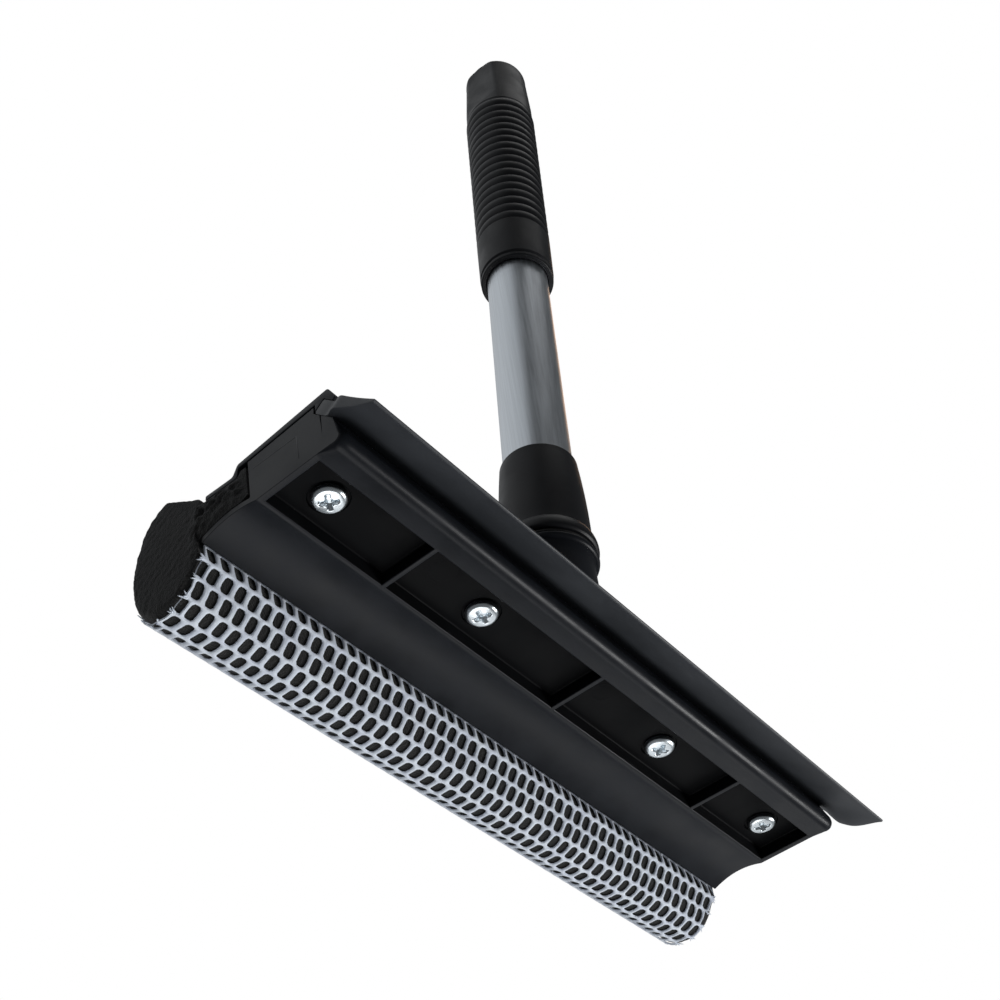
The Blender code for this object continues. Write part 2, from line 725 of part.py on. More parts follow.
def net_row_edges(row):
    """Return the X places of the hole edges in one row, with every other row set half a step off."""
    half = BODY_LENGTH / 2 - NET_END_INSET
    pitch = 2 * half / NET_COLUMNS
    count = NET_COLUMNS - row % 2
    first = -pitch * (count - 1) / 2
    edges = [-half]
    for column in range(count):
        middle = first + pitch * column
        edges += [middle - (pitch - NET_STRUT) / 2, middle + (pitch - NET_STRUT) / 2]
    return edges + [half]


def net_mesh():
    """A sleeve of staggered long holes that follows the bulb."""
    line = bulb_stations()
    skins = (offset_line(line, GAP + NET_THICKNESS), offset_line(line, GAP))
    half = BODY_LENGTH / 2 - NET_END_INSET
    rows = [[-half, half]]
    for row in range(NET_ROWS):
        rows += [net_row_edges(row), net_row_edges(row)]
    rows.append([-half, half])
    work = bmesh.new()
    grid = []
    for skin in skins:
        grid.append([[work.verts.new((x, *point)) for x in places]
                     for places, point in zip(rows, skin)])
    for layer in grid:
        for station in range(len(rows) - 1):
            below = layer[station]
            above = layer[station + 1]
            if station % 2 == 0:
                work.faces.new(below + above[::-1])
                continue
            for left in range(0, len(below), 2):
                work.faces.new((below[left], below[left + 1], above[left + 1], above[left]))
    outer, inner = grid
    for row in range(NET_ROWS):
        station = 2 * row + 1
        for left in range(1, len(rows[station]) - 1, 2):
            corners = [(station, left), (station, left + 1), (station + 1, left + 1),
                       (station + 1, left)]
            for (line_a, place_a), (line_b, place_b) in zip(corners, corners[1:] + corners[:1]):
                work.faces.new((outer[line_a][place_a], outer[line_b][place_b],
                                inner[line_b][place_b], inner[line_a][place_a]))
    for station in range(len(rows) - 1):
        for place in (0, -1):
            work.faces.new((outer[station][place], outer[station + 1][place],
                            inner[station + 1][place], inner[station][place]))
    for station in (0, -1):
        work.faces.new((outer[station][0], outer[station][1], inner[station][1],
                        inner[station][0]))
    bmesh.ops.triangulate(work, faces=work.faces, ngon_method="BEAUTY")
    return finished(work, "net_sleeve")


# Handle, in heights along its own axis

WASHER_FOOT = NECK_TOP + GAP
FERRULE_FOOT = WASHER_FOOT + WASHER_THICKNESS + GAP
FERRULE_TOP = FERRULE_FOOT + FERRULE_LENGTH
TUBE_FOOT = FERRULE_FOOT + FERRULE_WEB + GAP
GRIP_FOOT = FERRULE_TOP + TUBE_BARE_LENGTH
GRIP_TOP = GRIP_FOOT + GRIP_LENGTH
TUBE_TOP = GRIP_TOP - GRIP_CAP - GAP


def washer_mesh():
    """The flat ring between the neck's rim and the ferrule."""
    inner = THREAD_RADIUS + GAP
    outer = NECK_RADIUS + WASHER_LIP
    top = WASHER_FOOT + WASHER_THICKNESS
    return turned([(inner, WASHER_FOOT), (outer, WASHER_FOOT), (outer, top), (inner, top)])


def thread_mesh(root):
    """A helical ridge on the ferrule's shank, run out to nothing at both ends."""
    steps = int(THREAD_TURNS * THREAD_STEPS_A_TURN)
    bottom = SHANK_TIP_MARGIN + root[1]
    runout = THREAD_RUNOUT_TURNS * THREAD_STEPS_A_TURN
    work = bmesh.new()
    rings = []
    for step in range(steps + 1):
        angle = math.tau * step / THREAD_STEPS_A_TURN
        height = bottom + THREAD_PITCH * step / THREAD_STEPS_A_TURN
        ramp = min(1.0, step / runout, (steps - step) / runout)
        crest = root[0] + THREAD_DEPTH * ramp
        base = root[0] - GAP
        section = [(base, -THREAD_PITCH * THREAD_FOOT_SHARE),
                   (crest, -THREAD_PITCH * THREAD_CREST_SHARE),
                   (crest, THREAD_PITCH * THREAD_CREST_SHARE),
                   (base, THREAD_PITCH * THREAD_FOOT_SHARE)]
        rings.append([work.verts.new((r * math.cos(angle), r * math.sin(angle), height + rise))
                      for r, rise in section])
    for before, after in zip(rings, rings[1:]):
        for side in range(4):
            following = (side + 1) % 4
            work.faces.new((before[side], before[following], after[following], after[side]))
    work.faces.new(rings[0])
    work.faces.new(rings[-1])
    return finished(work, "thread")


def ferrule_mesh():
    """The sleeve round the tube's foot, with a spigot inside the tube and a threaded shank."""
    shank_radius = THREAD_RADIUS - THREAD_DEPTH
    shank_length = THREAD_PITCH * (THREAD_TURNS + 2 * THREAD_FOOT_SHARE) + 2 * SHANK_TIP_MARGIN
    shank_foot = max(FERRULE_FOOT - shank_length, SOCKET_FLOOR + OVERRUN)
    bore = TUBE_RADIUS + GAP
    spigot = TUBE_RADIUS - TUBE_WALL - GAP
    web = FERRULE_FOOT + FERRULE_WEB
    lip = FERRULE_FOOT + FERRULE_LIP_HEIGHT
    waist = (FERRULE_FOOT + FERRULE_TOP) / 2
    waist_radius = (FERRULE_FOOT_RADIUS + FERRULE_TOP_RADIUS) / 2 + FERRULE_BULGE
    profile = [
        (SHANK_BORE_RADIUS, shank_foot),
        (shank_radius - SHANK_TIP_MARGIN / 2, shank_foot),
        (shank_radius, shank_foot + SHANK_TIP_MARGIN / 2),
        (shank_radius, FERRULE_FOOT),
        (FERRULE_LIP_RADIUS - GAP, FERRULE_FOOT),
        (FERRULE_LIP_RADIUS, FERRULE_FOOT + GAP),
        (FERRULE_LIP_RADIUS, FERRULE_FOOT + FERRULE_LIP_HEIGHT / 2),
        (FERRULE_FOOT_RADIUS, lip),
        ((FERRULE_FOOT_RADIUS + waist_radius) / 2 + GAP / 2, (lip + waist) / 2),
        (waist_radius, waist),
        ((FERRULE_TOP_RADIUS + waist_radius) / 2 + GAP / 2, (FERRULE_TOP + waist) / 2),
        (FERRULE_TOP_RADIUS, FERRULE_TOP - 2 * FERRULE_TOP_ROUND),
        (FERRULE_TOP_RADIUS - FERRULE_TOP_ROUND / 3, FERRULE_TOP - FERRULE_TOP_ROUND / 2),
        (FERRULE_TOP_RADIUS - FERRULE_TOP_ROUND, FERRULE_TOP),
        (bore, FERRULE_TOP),
        (bore, web),
        (spigot, web),
        (spigot, web + FERRULE_SPIGOT),
        (SHANK_BORE_RADIUS, web + FERRULE_SPIGOT),
    ]
    return cut(turned(profile), thread_mesh((shank_radius, shank_foot)), "UNION")


def tube_mesh():
    """The drawn tube."""
    inner = TUBE_RADIUS - TUBE_WALL
    return turned([(TUBE_RADIUS, TUBE_FOOT), (TUBE_RADIUS, TUBE_TOP), (inner, TUBE_TOP),
                   (inner, TUBE_FOOT)])


def grip_profile():
    """Return the grip's profile from the top of its end down its outer side and up its bore."""
    end_centre = (GRIP_END_RADIUS - GRIP_END_ROUND, GRIP_TOP - GRIP_END_ROUND)
    points = [(0, GRIP_TOP)]
    points += arc(end_centre, GRIP_END_ROUND, math.pi / 2, GRIP_ROUND_LAST, GRIP_ROUND_STEPS)
    ribs_foot = GRIP_FOOT + GRIP_BAND_LENGTH
    ribs_top = ribs_foot + GRIP_RIBS * GRIP_RIB_PITCH
    points += [(GRIP_BAND_RADIUS + GRIP_RIB_GROWTH - GRIP_BAND_STEP, ribs_top + GRIP_RIB_PITCH / 2)]
    for rib in reversed(range(GRIP_RIBS)):
        foot = ribs_foot + rib * GRIP_RIB_PITCH
        crest = GRIP_BAND_RADIUS + GRIP_RIB_GROWTH * rib / GRIP_RIBS
        points += [(crest - GRIP_RIB_HEIGHT, foot + GRIP_RIB_PITCH)]
        for share in reversed(GRIP_RIB_CREST_SHARES):
            points += [(crest, foot + GRIP_RIB_PITCH * share)]
    points += [
        (GRIP_BAND_RADIUS - GRIP_RIB_HEIGHT, ribs_foot),
        (GRIP_BAND_RADIUS, ribs_foot - GRIP_BAND_STEP),
        (GRIP_FOOT_RADIUS, GRIP_FOOT + 2 * GRIP_FOOT_ROUND),
        (GRIP_FOOT_RADIUS - GRIP_FOOT_ROUND / 2, GRIP_FOOT + GRIP_FOOT_ROUND / 2),
        (GRIP_FOOT_RADIUS - GRIP_FOOT_ROUND, GRIP_FOOT),
        (TUBE_RADIUS + GAP, GRIP_FOOT),
        (TUBE_RADIUS + GAP, TUBE_TOP + GAP),
        (0, TUBE_TOP + GAP),
    ]
    return points


def grip_mesh():
    """The ribbed grip, closed at its end, with two flats above the ribs."""
    mesh = turned(grip_profile(), closed=False)
    ribs_top = GRIP_FOOT + GRIP_BAND_LENGTH + GRIP_RIBS * GRIP_RIB_PITCH
    low = ribs_top + GRIP_FLAT_MARGIN
    far = GRIP_BAND_RADIUS + GRIP_RIB_GROWTH + OVERRUN
    near = GRIP_FLAT_SPACING / 2
    outline = [(-far, low), (far, low), (far, GRIP_TOP + OVERRUN), (-far, GRIP_TOP + OVERRUN)]
    return cut(mesh, joined([prism(outline, -far, -near), prism(outline, near, far)]))


def build():
    """Make every piece and stand the tool over its origin."""
    clear_scene()
    net = offset_line(bulb_stations(), GAP + NET_THICKNESS)
    tip_out = -blade_point(BLADE_FREE, 0)[0]
    middle = (float(net[:, 0].max()) - tip_out) / 2
    head = add_empty("head_frame", (0, -middle, -float(net[:, 1].min())))
    axis = add_empty("handle_axis", (0, HANDLE_FOOT_OUT, 0), head)
    axis.rotation_euler = (HANDLE_LEAN, 0, 0)

    black = black_plastic()
    grip_black = grip_plastic()
    pieces = [
        ("back_housing", housing_mesh(), black, head),
        ("front_cover", cover_mesh(), black, head),
        ("rubber_blade", blade_mesh(), blade_rubber(), head),
        ("foam_sponge", sponge_mesh(), charcoal_foam(), head),
        ("net_sleeve", net_mesh(), white_net(), head),
        ("ferrule_washer", washer_mesh(), sealing_rubber(), axis),
        ("handle_ferrule", ferrule_mesh(), grip_black, axis),
        ("handle_tube", tube_mesh(), satin_aluminium(), axis),
        ("grip_sleeve", grip_mesh(), grip_black, axis),
    ]
    for name, mesh, surface, parent in pieces:
        smooth(mesh)
        add_object(name, mesh, surface, parent)

    screw = screw_mesh()
    smooth(screw)
    zinc = zinc_steel()
    seat = TROUGH_DEPTH + SCREW_SEAT_DEPTH - GAP
    for number, place in enumerate(screw_places(), 1):
        item = add_object(f"cover_screw_{number}", screw, zinc, head)
        item.location = (place, 0, seat)


build()
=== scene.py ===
"""Looks of a glass squeegee: every visible piece, its materials and the stage.

Lengths inside the functions are in millimetres. The head is drawn as the part draws it:
X along the head, Y towards the sponge, Z up, with Z = 0 in the plane of the cover's rim.
The handle is drawn about its own leaning axis, with heights from that same plane.
head_place and axis_place then put the points in the part's frame, in metres.
"""
import math
from types import SimpleNamespace

import bmesh
import bpy
import numpy as np
from bpy.props import FloatProperty, FloatVectorProperty, IntProperty, PointerProperty
from mathutils import Matrix, Vector


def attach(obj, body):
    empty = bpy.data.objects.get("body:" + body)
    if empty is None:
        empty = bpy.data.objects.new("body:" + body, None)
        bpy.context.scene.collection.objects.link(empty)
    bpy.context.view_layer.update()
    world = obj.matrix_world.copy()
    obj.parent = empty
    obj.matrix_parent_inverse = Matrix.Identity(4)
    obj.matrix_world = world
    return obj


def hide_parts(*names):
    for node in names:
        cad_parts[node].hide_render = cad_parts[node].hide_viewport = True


bl_info = {
    "name": "Glass Squeegee",
    "version": (1, 0, 0),
    "blender": (4, 5, 0),
    "location": "View3D > Sidebar > Squeegee",
    "description": "Builds a window squeegee with a netted sponge around its packed frame",
    "category": "Object",
}

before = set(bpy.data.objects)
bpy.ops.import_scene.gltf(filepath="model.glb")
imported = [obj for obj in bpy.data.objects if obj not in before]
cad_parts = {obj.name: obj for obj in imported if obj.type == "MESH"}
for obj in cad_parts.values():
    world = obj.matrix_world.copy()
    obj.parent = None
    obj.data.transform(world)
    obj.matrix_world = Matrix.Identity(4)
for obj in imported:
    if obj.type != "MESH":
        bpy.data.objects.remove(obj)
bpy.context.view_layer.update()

MM = 0.001
MERGE = 0.002  # points of a shell that lie closer, in millimetres, become one
TAU = math.tau

# Places of the two drawings in the part's frame
HEAD_OUT = -10.7243
HEAD_LIFT = 13.2014
AXIS_OUT = 4.3
AXIS_LEAN = math.radians(3.44)


# Sizes and colours that a user would change

def length(name, value, description):
    """Return a length property whose default is given in millimetres."""
    return FloatProperty(name=name, description=description, default=value * MM, min=0.0,
                         precision=5, subtype="DISTANCE", unit="LENGTH")


def tint(name, value, description):
    """Return a colour property."""
    return FloatVectorProperty(name=name, description=description, default=value, size=3,
                               min=0.0, max=1.0, subtype="COLOR")


class HeadSizes(bpy.types.PropertyGroup):
    """Sizes of the two halves of the head, its screws and its neck."""
    body: length("Head length", 200.0, "Length of the two clamped halves")
    trough_width: length("Trough width", 15.8, "Width of the trough at its rim")
    trough_depth: length("Trough depth", 3.7, "Depth of the trough's floor")
    rib: length("Rib thickness", 1.3, "Thickness of the ribs across the trough")
    end_wall: length("End wall", 1.6, "Thickness of the trough's end walls")
    bead: length("Bead radius", 2.6, "Radius of the bead beside the blade")
    flange: length("Flange reach", 16.7, "Reach of the coved flange towards the sponge")
    screw: length("Screw head radius", 4.0, "Radius of a cover screw's head")
    neck: length("Neck radius", 12.6, "Radius of the neck above its flare")
    collar: length("Collar radius", 14.0, "Radius of the bead round the neck's top")


class BladeSizes(bpy.types.PropertyGroup):
    """Sizes of the rubber blade."""
    free: length("Free reach", 22.7, "Reach of the blade from its slot to its edge")
    root: length("Root thickness", 3.9, "Thickness in the slot")
    tip: length("Edge thickness", 0.7, "Thickness at the wiping edge")
    flare: length("End flare", 4.0, "How far the edge reaches past each end of the head")


class SpongeSizes(bpy.types.PropertyGroup):
    """Sizes of the foam bar and its net."""
    half_depth: length("Foam half depth", 11.25, "Half the bulb's size away from the head")
    half_height: length("Foam half height", 18.55, "Half the bulb's height")
    end_round: length("End rounding", 2.2, "Length of the rounding at each cut end")
    pitch: length("Net pitch", 3.9, "Distance between holes along the head")
    row_pitch: length("Net row pitch", 4.3, "Distance between rows of holes round the foam")
    hole: length("Hole width", 2.75, "Width of a hole along the head")
    yarn: length("Net thickness", 0.5, "Thickness of the net")
    seed: IntProperty(name="Seed", description="Seed of the loose threads and the foam's lumps",
                      default=7, min=0)


class HandleSizes(bpy.types.PropertyGroup):
    """Sizes of the handle's pieces."""
    ferrule_foot: length("Ferrule foot radius", 12.8, "Radius above the ferrule's lip")
    ferrule_top: length("Ferrule top radius", 11.6, "Radius at the ferrule's top")
    tube: length("Tube radius", 10.3, "Outer radius of the tube")
    wall: length("Tube wall", 1.0, "Wall of the tube")
    pitch: length("Thread pitch", 4.2, "Pitch of the thread on the ferrule's shank")
    grip: length("Grip radius", 12.85, "Radius of the grip's smooth band")
    ribs: IntProperty(name="Grip ribs", description="Number of ribs round the grip", default=18,
                      min=1, max=40)
    rib_pitch: length("Rib pitch", 4.65, "Distance between the grip's ribs")
    rib_height: length("Rib height", 0.6, "Height of a rib over the groove beside it")


class Finishes(bpy.types.PropertyGroup):
    """Colours of the materials."""
    plastic: tint("Moulded black", (0.010, 0.0115, 0.015), "Semi-matte black of the head")
    grip: tint("Grip black", (0.010, 0.0105, 0.0125), "Matte black of grip and ferrule")
    rubber: tint("Blade rubber", (0.036, 0.040, 0.047), "Bluish black of the blade")
    foam: tint("Foam", (0.009, 0.009, 0.0088), "Charcoal of the foam")
    net: tint("Net", (0.80, 0.865, 1.0), "Lavender white of the net")
    zinc: tint("Zinc plate", (0.78, 0.84, 0.88), "Bright zinc of the screws")
    aluminium: tint("Aluminium", (0.74, 0.78, 0.82), "Satin metal of the tube")
    seal: tint("Washer rubber", (0.012, 0.012, 0.012), "Matte black of the washer")
    floor: tint("Floor", (0.92, 0.92, 0.92), "Pale floor and backdrop")


def sizes(name):
    """Return one of the scene's groups: its lengths in millimetres, its counts as they are."""
    group = getattr(bpy.context.scene, "squeegee_" + name)
    values = {key: getattr(group, key) for key in group.__annotations__}
    return SimpleNamespace(**{key: value if isinstance(value, int) else value / MM
                              for key, value in values.items()})


# Points, lines and shells

def head_place(points):
    """Return head points in the part's frame: the head's drawing moved as one."""
    return (np.asarray(points, float) + (0.0, HEAD_OUT, HEAD_LIFT)) * MM


def axis_place(points):
    """Return handle points in the part's frame: turned about X by the lean, then moved."""
    points = np.asarray(points, float)
    cosine, sine = math.cos(AXIS_LEAN), math.sin(AXIS_LEAN)
    out = points[..., 1] * cosine - points[..., 2] * sine + AXIS_OUT + HEAD_OUT
    height = points[..., 1] * sine + points[..., 2] * cosine + HEAD_LIFT
    return np.stack((points[..., 0], out, height), axis=-1) * MM


def unit(ways):
    """Return each way divided by its length."""
    return ways / np.maximum(np.linalg.norm(ways, axis=-1, keepdims=True), 1e-9)


def filleted(corners, steps=4, hold=0.25, closed=True):
    """Round the corners (a, b, radius) of a line.

    Each corner gives way to an arc that touches both its sides: its centre lies on the
    corner's halving line, and its points turn evenly from one touching point to the other.
    One more point on each side, hold away, keeps the shading of the straights flat.
    """
    corners = np.asarray(corners, float)
    places, radii = corners[:, :2], corners[:, 2]
    back = np.roll(places, 1, axis=0) - places
    ahead = np.roll(places, -1, axis=0) - places
    room = np.minimum(np.linalg.norm(back, axis=1), np.linalg.norm(ahead, axis=1)) * 0.48
    back, ahead = unit(back), unit(ahead)
    half = 0.5 * np.arccos(np.clip(np.sum(back * ahead, axis=1), -1.0, 1.0))
    half = np.maximum(half, 1e-3)
    reach = np.minimum(radii / np.tan(half), room)
    radius = reach * np.tan(half)
    middle = places + unit(back + ahead) * (radius / np.sin(half))[:, None]
    first = places + back * reach[:, None] - middle
    last = places + ahead * reach[:, None] - middle
    swing = np.maximum(math.pi - 2 * half, 1e-6)
    share = np.linspace(0.0, 1.0, steps + 1)[None, :, None]
    weight_first = np.sin((1 - share) * swing[:, None, None]) / np.sin(swing)[:, None, None]
    weight_last = np.sin(share * swing[:, None, None]) / np.sin(swing)[:, None, None]
    arcs = middle[:, None] + weight_first * first[:, None] + weight_last * last[:, None]
    straight = (radii < 1e-6) | (swing < 0.02)
    arcs[straight] = places[straight][:, None]
    spare = np.minimum(hold, room - reach + 0.02)
    spare = np.where(straight, 0.0, np.maximum(spare, 0.0))[:, None]
    before = arcs[:, 0] + back * spare
    after = arcs[:, -1] + ahead * spare
    line = np.concatenate((before[:, None], arcs, after[:, None]), axis=1)
    if not closed:
        line[0], line[-1] = places[0], places[-1]
    return thinned(line.reshape(-1, 2), closed)


def thinned(line, closed=True):
    """Drop each point that lies on the one before it."""
    gaps = np.linalg.norm(np.diff(line, axis=0), axis=1) > 1e-3
    kept = line[np.concatenate(([True], gaps))]
    if closed and np.linalg.norm(kept[0] - kept[-1]) < 1e-3:
        kept = kept[:-1]
    return kept


def sharp(points):
    """Return points as corners (a, b, radius) that filleted leaves as they are."""
    return [(*point, 0.0) for point in points]


def run_of(line):
    """Return how far along a line each of its points lies."""
    return np.concatenate(([0.0], np.cumsum(np.linalg.norm(np.diff(line, axis=0), axis=1))))


def spaced(line, gap, closed=False):
    """Return a line whose points are at most gap apart, the old points among them."""
    ring = np.vstack((line, line[:1])) if closed else line
    run = run_of(ring)
    places = np.union1d(run, np.linspace(0.0, run[-1], max(2, math.ceil(run[-1] / gap))))
    places = places[np.concatenate(([True], np.diff(places) > gap * 0.02))]
    new = np.column_stack([np.interp(places, run, ring[:, axis]) for axis in range(ring.shape[1])])
    return new[:-1] if closed else new


def inset(loop, distance):
    """Move a closed loop inwards, each side by the same distance, along its corners' mitres."""
    way = unit(np.roll(loop, -1, axis=0) - loop)
    area = np.sum(loop[:, 0] * np.roll(loop[:, 1], -1) - loop[:, 1] * np.roll(loop[:, 0], -1))
    side = np.column_stack((-way[:, 1], way[:, 0])) * (1.0 if area > 0 else -1.0)
    before = np.roll(side, 1, axis=0)
    mitre = (side + before) / np.maximum(1 + np.sum(side * before, axis=1), 0.4)[:, None]
    return loop + mitre * distance


def smoothstep(value):
    """Return 3 v^2 - 2 v^3 with v kept between 0 and 1."""
    value = np.clip(value, 0.0, 1.0)
    return value * value * (3.0 - 2.0 * value)


def stations(marks, gap):
    """Return rising numbers that hold every mark, with steps no longer than gap between."""
    marks = np.unique(np.round(np.asarray(marks, float), 4))
    steps = np.maximum(1, np.ceil(np.diff(marks) / gap)).astype(int)
    return np.concatenate([np.linspace(low, high, count, endpoint=False)
                           for low, high, count in zip(marks, marks[1:], steps)] + [marks[-1:]])


class Shell:
    """Grids of points, in millimetres, that merge into one closed mesh."""

    def __init__(self):
        self.points = []
        self.faces = []
        self.count = 0

    def grid(self, points, close_rows=False, close_columns=False):
        """Add a grid of rows and columns of points, with a face between every four.

        An array with one more axis in front holds many grids of one size.
        """
        shape = points.shape[:-1]
        index = np.arange(math.prod(shape)).reshape(shape) + self.count
        if close_rows:
            index = np.concatenate((index, index[..., :1, :]), axis=-2)
        if close_columns:
            index = np.concatenate((index, index[..., :1]), axis=-1)
        quads = np.stack((index[..., :-1, :-1], index[..., 1:, :-1], index[..., 1:, 1:],
                          index[..., :-1, 1:]), axis=-1)
        self.points.append(points.reshape(-1, 3))
        self.faces += quads.reshape(-1, 4).tolist()
        self.count += math.prod(shape)

    def polygon(self, loop):
        """Add one face round a loop of points."""
        self.points.append(np.asarray(loop, float))
        self.faces.append(list(range(self.count, self.count + len(loop))))
        self.count += len(loop)

    def mesh(self, name, place, angle=35.0):
        """Return the merged mesh, placed by a function, smooth but for edges over angle."""
        made = bpy.data.meshes.new(name)
        points = np.concatenate(self.points)
        made.from_pydata(points, [], self.faces)
        work = bmesh.new()
        work.from_mesh(made)
        bmesh.ops.remove_doubles(work, verts=work.verts, dist=MERGE)
        bmesh.ops.dissolve_degenerate(work, edges=work.edges, dist=MERGE / 4)
        bmesh.ops.recalc_face_normals(work, faces=work.faces)
        work.to_mesh(made)
        work.free()
        places = np.empty(len(made.vertices) * 3)
        made.vertices.foreach_get("co", places)
        places = place(places.reshape(-1, 3)).astype(np.float32)
        made.vertices.foreach_set("co", places.ravel())
        made.update()
        made.shade_smooth()
        made.set_sharp_from_angle(angle=math.radians(angle))
        for polygon in made.polygons:
            polygon.use_smooth = polygon.loop_total <= 4
        return made


def bar(shell, lines, cap_columns=2, bulge=None):
    """Add a bar with sides on two lines: lines is stations, two sides, points, coordinates.

    Each station's ring runs out along its lower line and back along its upper one. An end is
    closed by a grid that runs straight from each lower point to the upper point beside it,
    and bulge, given that grid and its end, may swell it.
    """
    shell.grid(lines[:, 0])
    shell.grid(lines[:, 1])
    share = np.linspace(0.0, 1.0, cap_columns)[:, None, None]
    for edge in (0, -1):
        shell.grid(lines[None, :, 0, edge] * (1 - share) + lines[None, :, 1, edge] * share)
    for end in (0, -1):
        cap = lines[end, 0][None] * (1 - share) + lines[end, 1][None] * share
        if bulge is not None:
            cap = bulge(cap, end)
        shell.grid(cap)


def turned(profile, segments, swell=None):
    """Turn a profile of (radius, height) points about the handle's axis.

    A point at angle a lies at x = r cos a, y = r sin a. swell, given radius, height and angle
    as whole arrays, may return another radius for each point.
    """
    angle = np.linspace(0.0, TAU, segments, endpoint=False)[None, :]
    radius = np.repeat(profile[:, :1], segments, axis=1)
    height = np.repeat(profile[:, 1:2], segments, axis=1)
    if swell is not None:
        radius = swell(radius, height, angle)
    return np.stack((radius * np.cos(angle), radius * np.sin(angle), height), axis=-1)


def add_piece(name, mesh, look, body, slot, *nodes):
    """Link a finished piece, give it its material and say what it rides on and replaces."""
    item = bpy.data.objects.new(name, mesh)
    bpy.context.scene.collection.objects.link(item)
    mesh.materials.clear()
    mesh.materials.append(look)
    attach(item, body)
    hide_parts(*nodes)
    return item


# Node helpers

def feed(tree, node, sockets):
    """Give each named input of a node its value, or the output that feeds it."""
    for key, value in sockets.items():
        if isinstance(value, bpy.types.NodeSocket):
            tree.links.new(value, node.inputs[key])
        else:
            node.inputs[key].default_value = value
    return node


def add(tree, kind, sockets=None, **settings):
    """Add a node with its settings and its sockets."""
    made = tree.nodes.new(kind)
    for key, value in settings.items():
        setattr(made, key, value)
    return feed(tree, made, sockets or {})


def sum_of(tree, operation, first, second=0.5, third=0.0, clamp=False):
    """Return the output of a Math node."""
    return add(tree, "ShaderNodeMath", {0: first, 1: second, 2: third}, operation=operation,
               use_clamp=clamp).outputs[0]


def ranged(tree, value, low, high, first=0.0, last=1.0):
    """Return value mapped from low..high to first..last and kept between them."""
    return add(tree, "ShaderNodeMapRange", {"Value": value, "From Min": low, "From Max": high,
                                            "To Min": first, "To Max": last}).outputs[0]


def mixed(tree, factor, first, second):
    """Return one colour mixed into another. Each is a colour or the output that feeds it."""
    first, second = ((*value, 1.0) if isinstance(value, tuple) else value
                     for value in (first, second))
    return add(tree, "ShaderNodeMix", {0: factor, 6: first, 7: second},
               data_type="RGBA").outputs[2]


def noise(tree, vector, scale, detail=3.0, rough=0.55):
    """Return a noise that runs from about 0.3 to 0.7."""
    return add(tree, "ShaderNodeTexNoise", {"Vector": vector, "Scale": scale, "Detail": detail,
                                            "Roughness": rough}).outputs["Fac"]


def shaded(colour, amount):
    """Return a colour made darker, or lighter over 1."""
    return tuple(min(1.0, part * amount) for part in colour)


def node_group(name, inputs, outputs):
    """Return a new shader group, the sockets of its inputs and its output node.

    An input with a number starts at that number, and one with None is a vector.
    """
    tree = bpy.data.node_groups.new(name, "ShaderNodeTree")
    for key, value in inputs.items():
        kind = "NodeSocketVector" if value is None else "NodeSocketFloat"
        made = tree.interface.new_socket(key, in_out="INPUT", socket_type=kind)
        if value is not None:
            made.default_value = value
    for key in outputs:
        tree.interface.new_socket(key, in_out="OUTPUT", socket_type="NodeSocketFloat")
    return tree, tree.nodes.new("NodeGroupInput").outputs, tree.nodes.new("NodeGroupOutput")


def grain_group():
    """Fine moulded grain: a fast noise for the skin and a slow one for its unevenness."""
    tree, given, out = node_group("moulded_grain", {"Vector": None, "Scale": 1800.0,
                                                    "Unevenness": 0.35}, ("Height", "Patches"))
    fine = noise(tree, given["Vector"], given["Scale"], 4.0, 0.6)
    slow_scale = sum_of(tree, "MULTIPLY", given["Scale"], 0.035)
    slow = noise(tree, given["Vector"], slow_scale, 3.0, 0.5)
    wave = sum_of(tree, "MULTIPLY", slow, given["Unevenness"])
    feed(tree, out, {"Height": sum_of(tree, "ADD", fine, wave),
                     "Patches": ranged(tree, slow, 0.38, 0.62)})
    return tree


def scuff_group():
    """Fine scratches: two noises drawn out along crossing ways, cut to their brightest lines."""
    tree, given, out = node_group("scuffs", {"Vector": None, "Scale": 220.0, "Amount": 0.5},
                                  ("Mask",))
    lines = []
    for turn, stretch in ((0.5, 14.0), (-0.9, 22.0)):
        laid = add(tree, "ShaderNodeMapping", {"Vector": given["Vector"],
                                               "Rotation": (0.2, turn * 0.4, turn),
                                               "Scale": (1.0, stretch, stretch)})
        drawn = noise(tree, laid.outputs[0], given["Scale"], 2.0, 0.6)
        lines.append(ranged(tree, drawn, 0.64, 0.74))
    patches = ranged(tree, noise(tree, given["Vector"], 60.0, 2.0), 0.45, 0.62)
    mask = sum_of(tree, "MULTIPLY", sum_of(tree, "MAXIMUM", *lines), patches)
    feed(tree, out, {"Mask": sum_of(tree, "MULTIPLY", mask, given["Amount"])})
    return tree


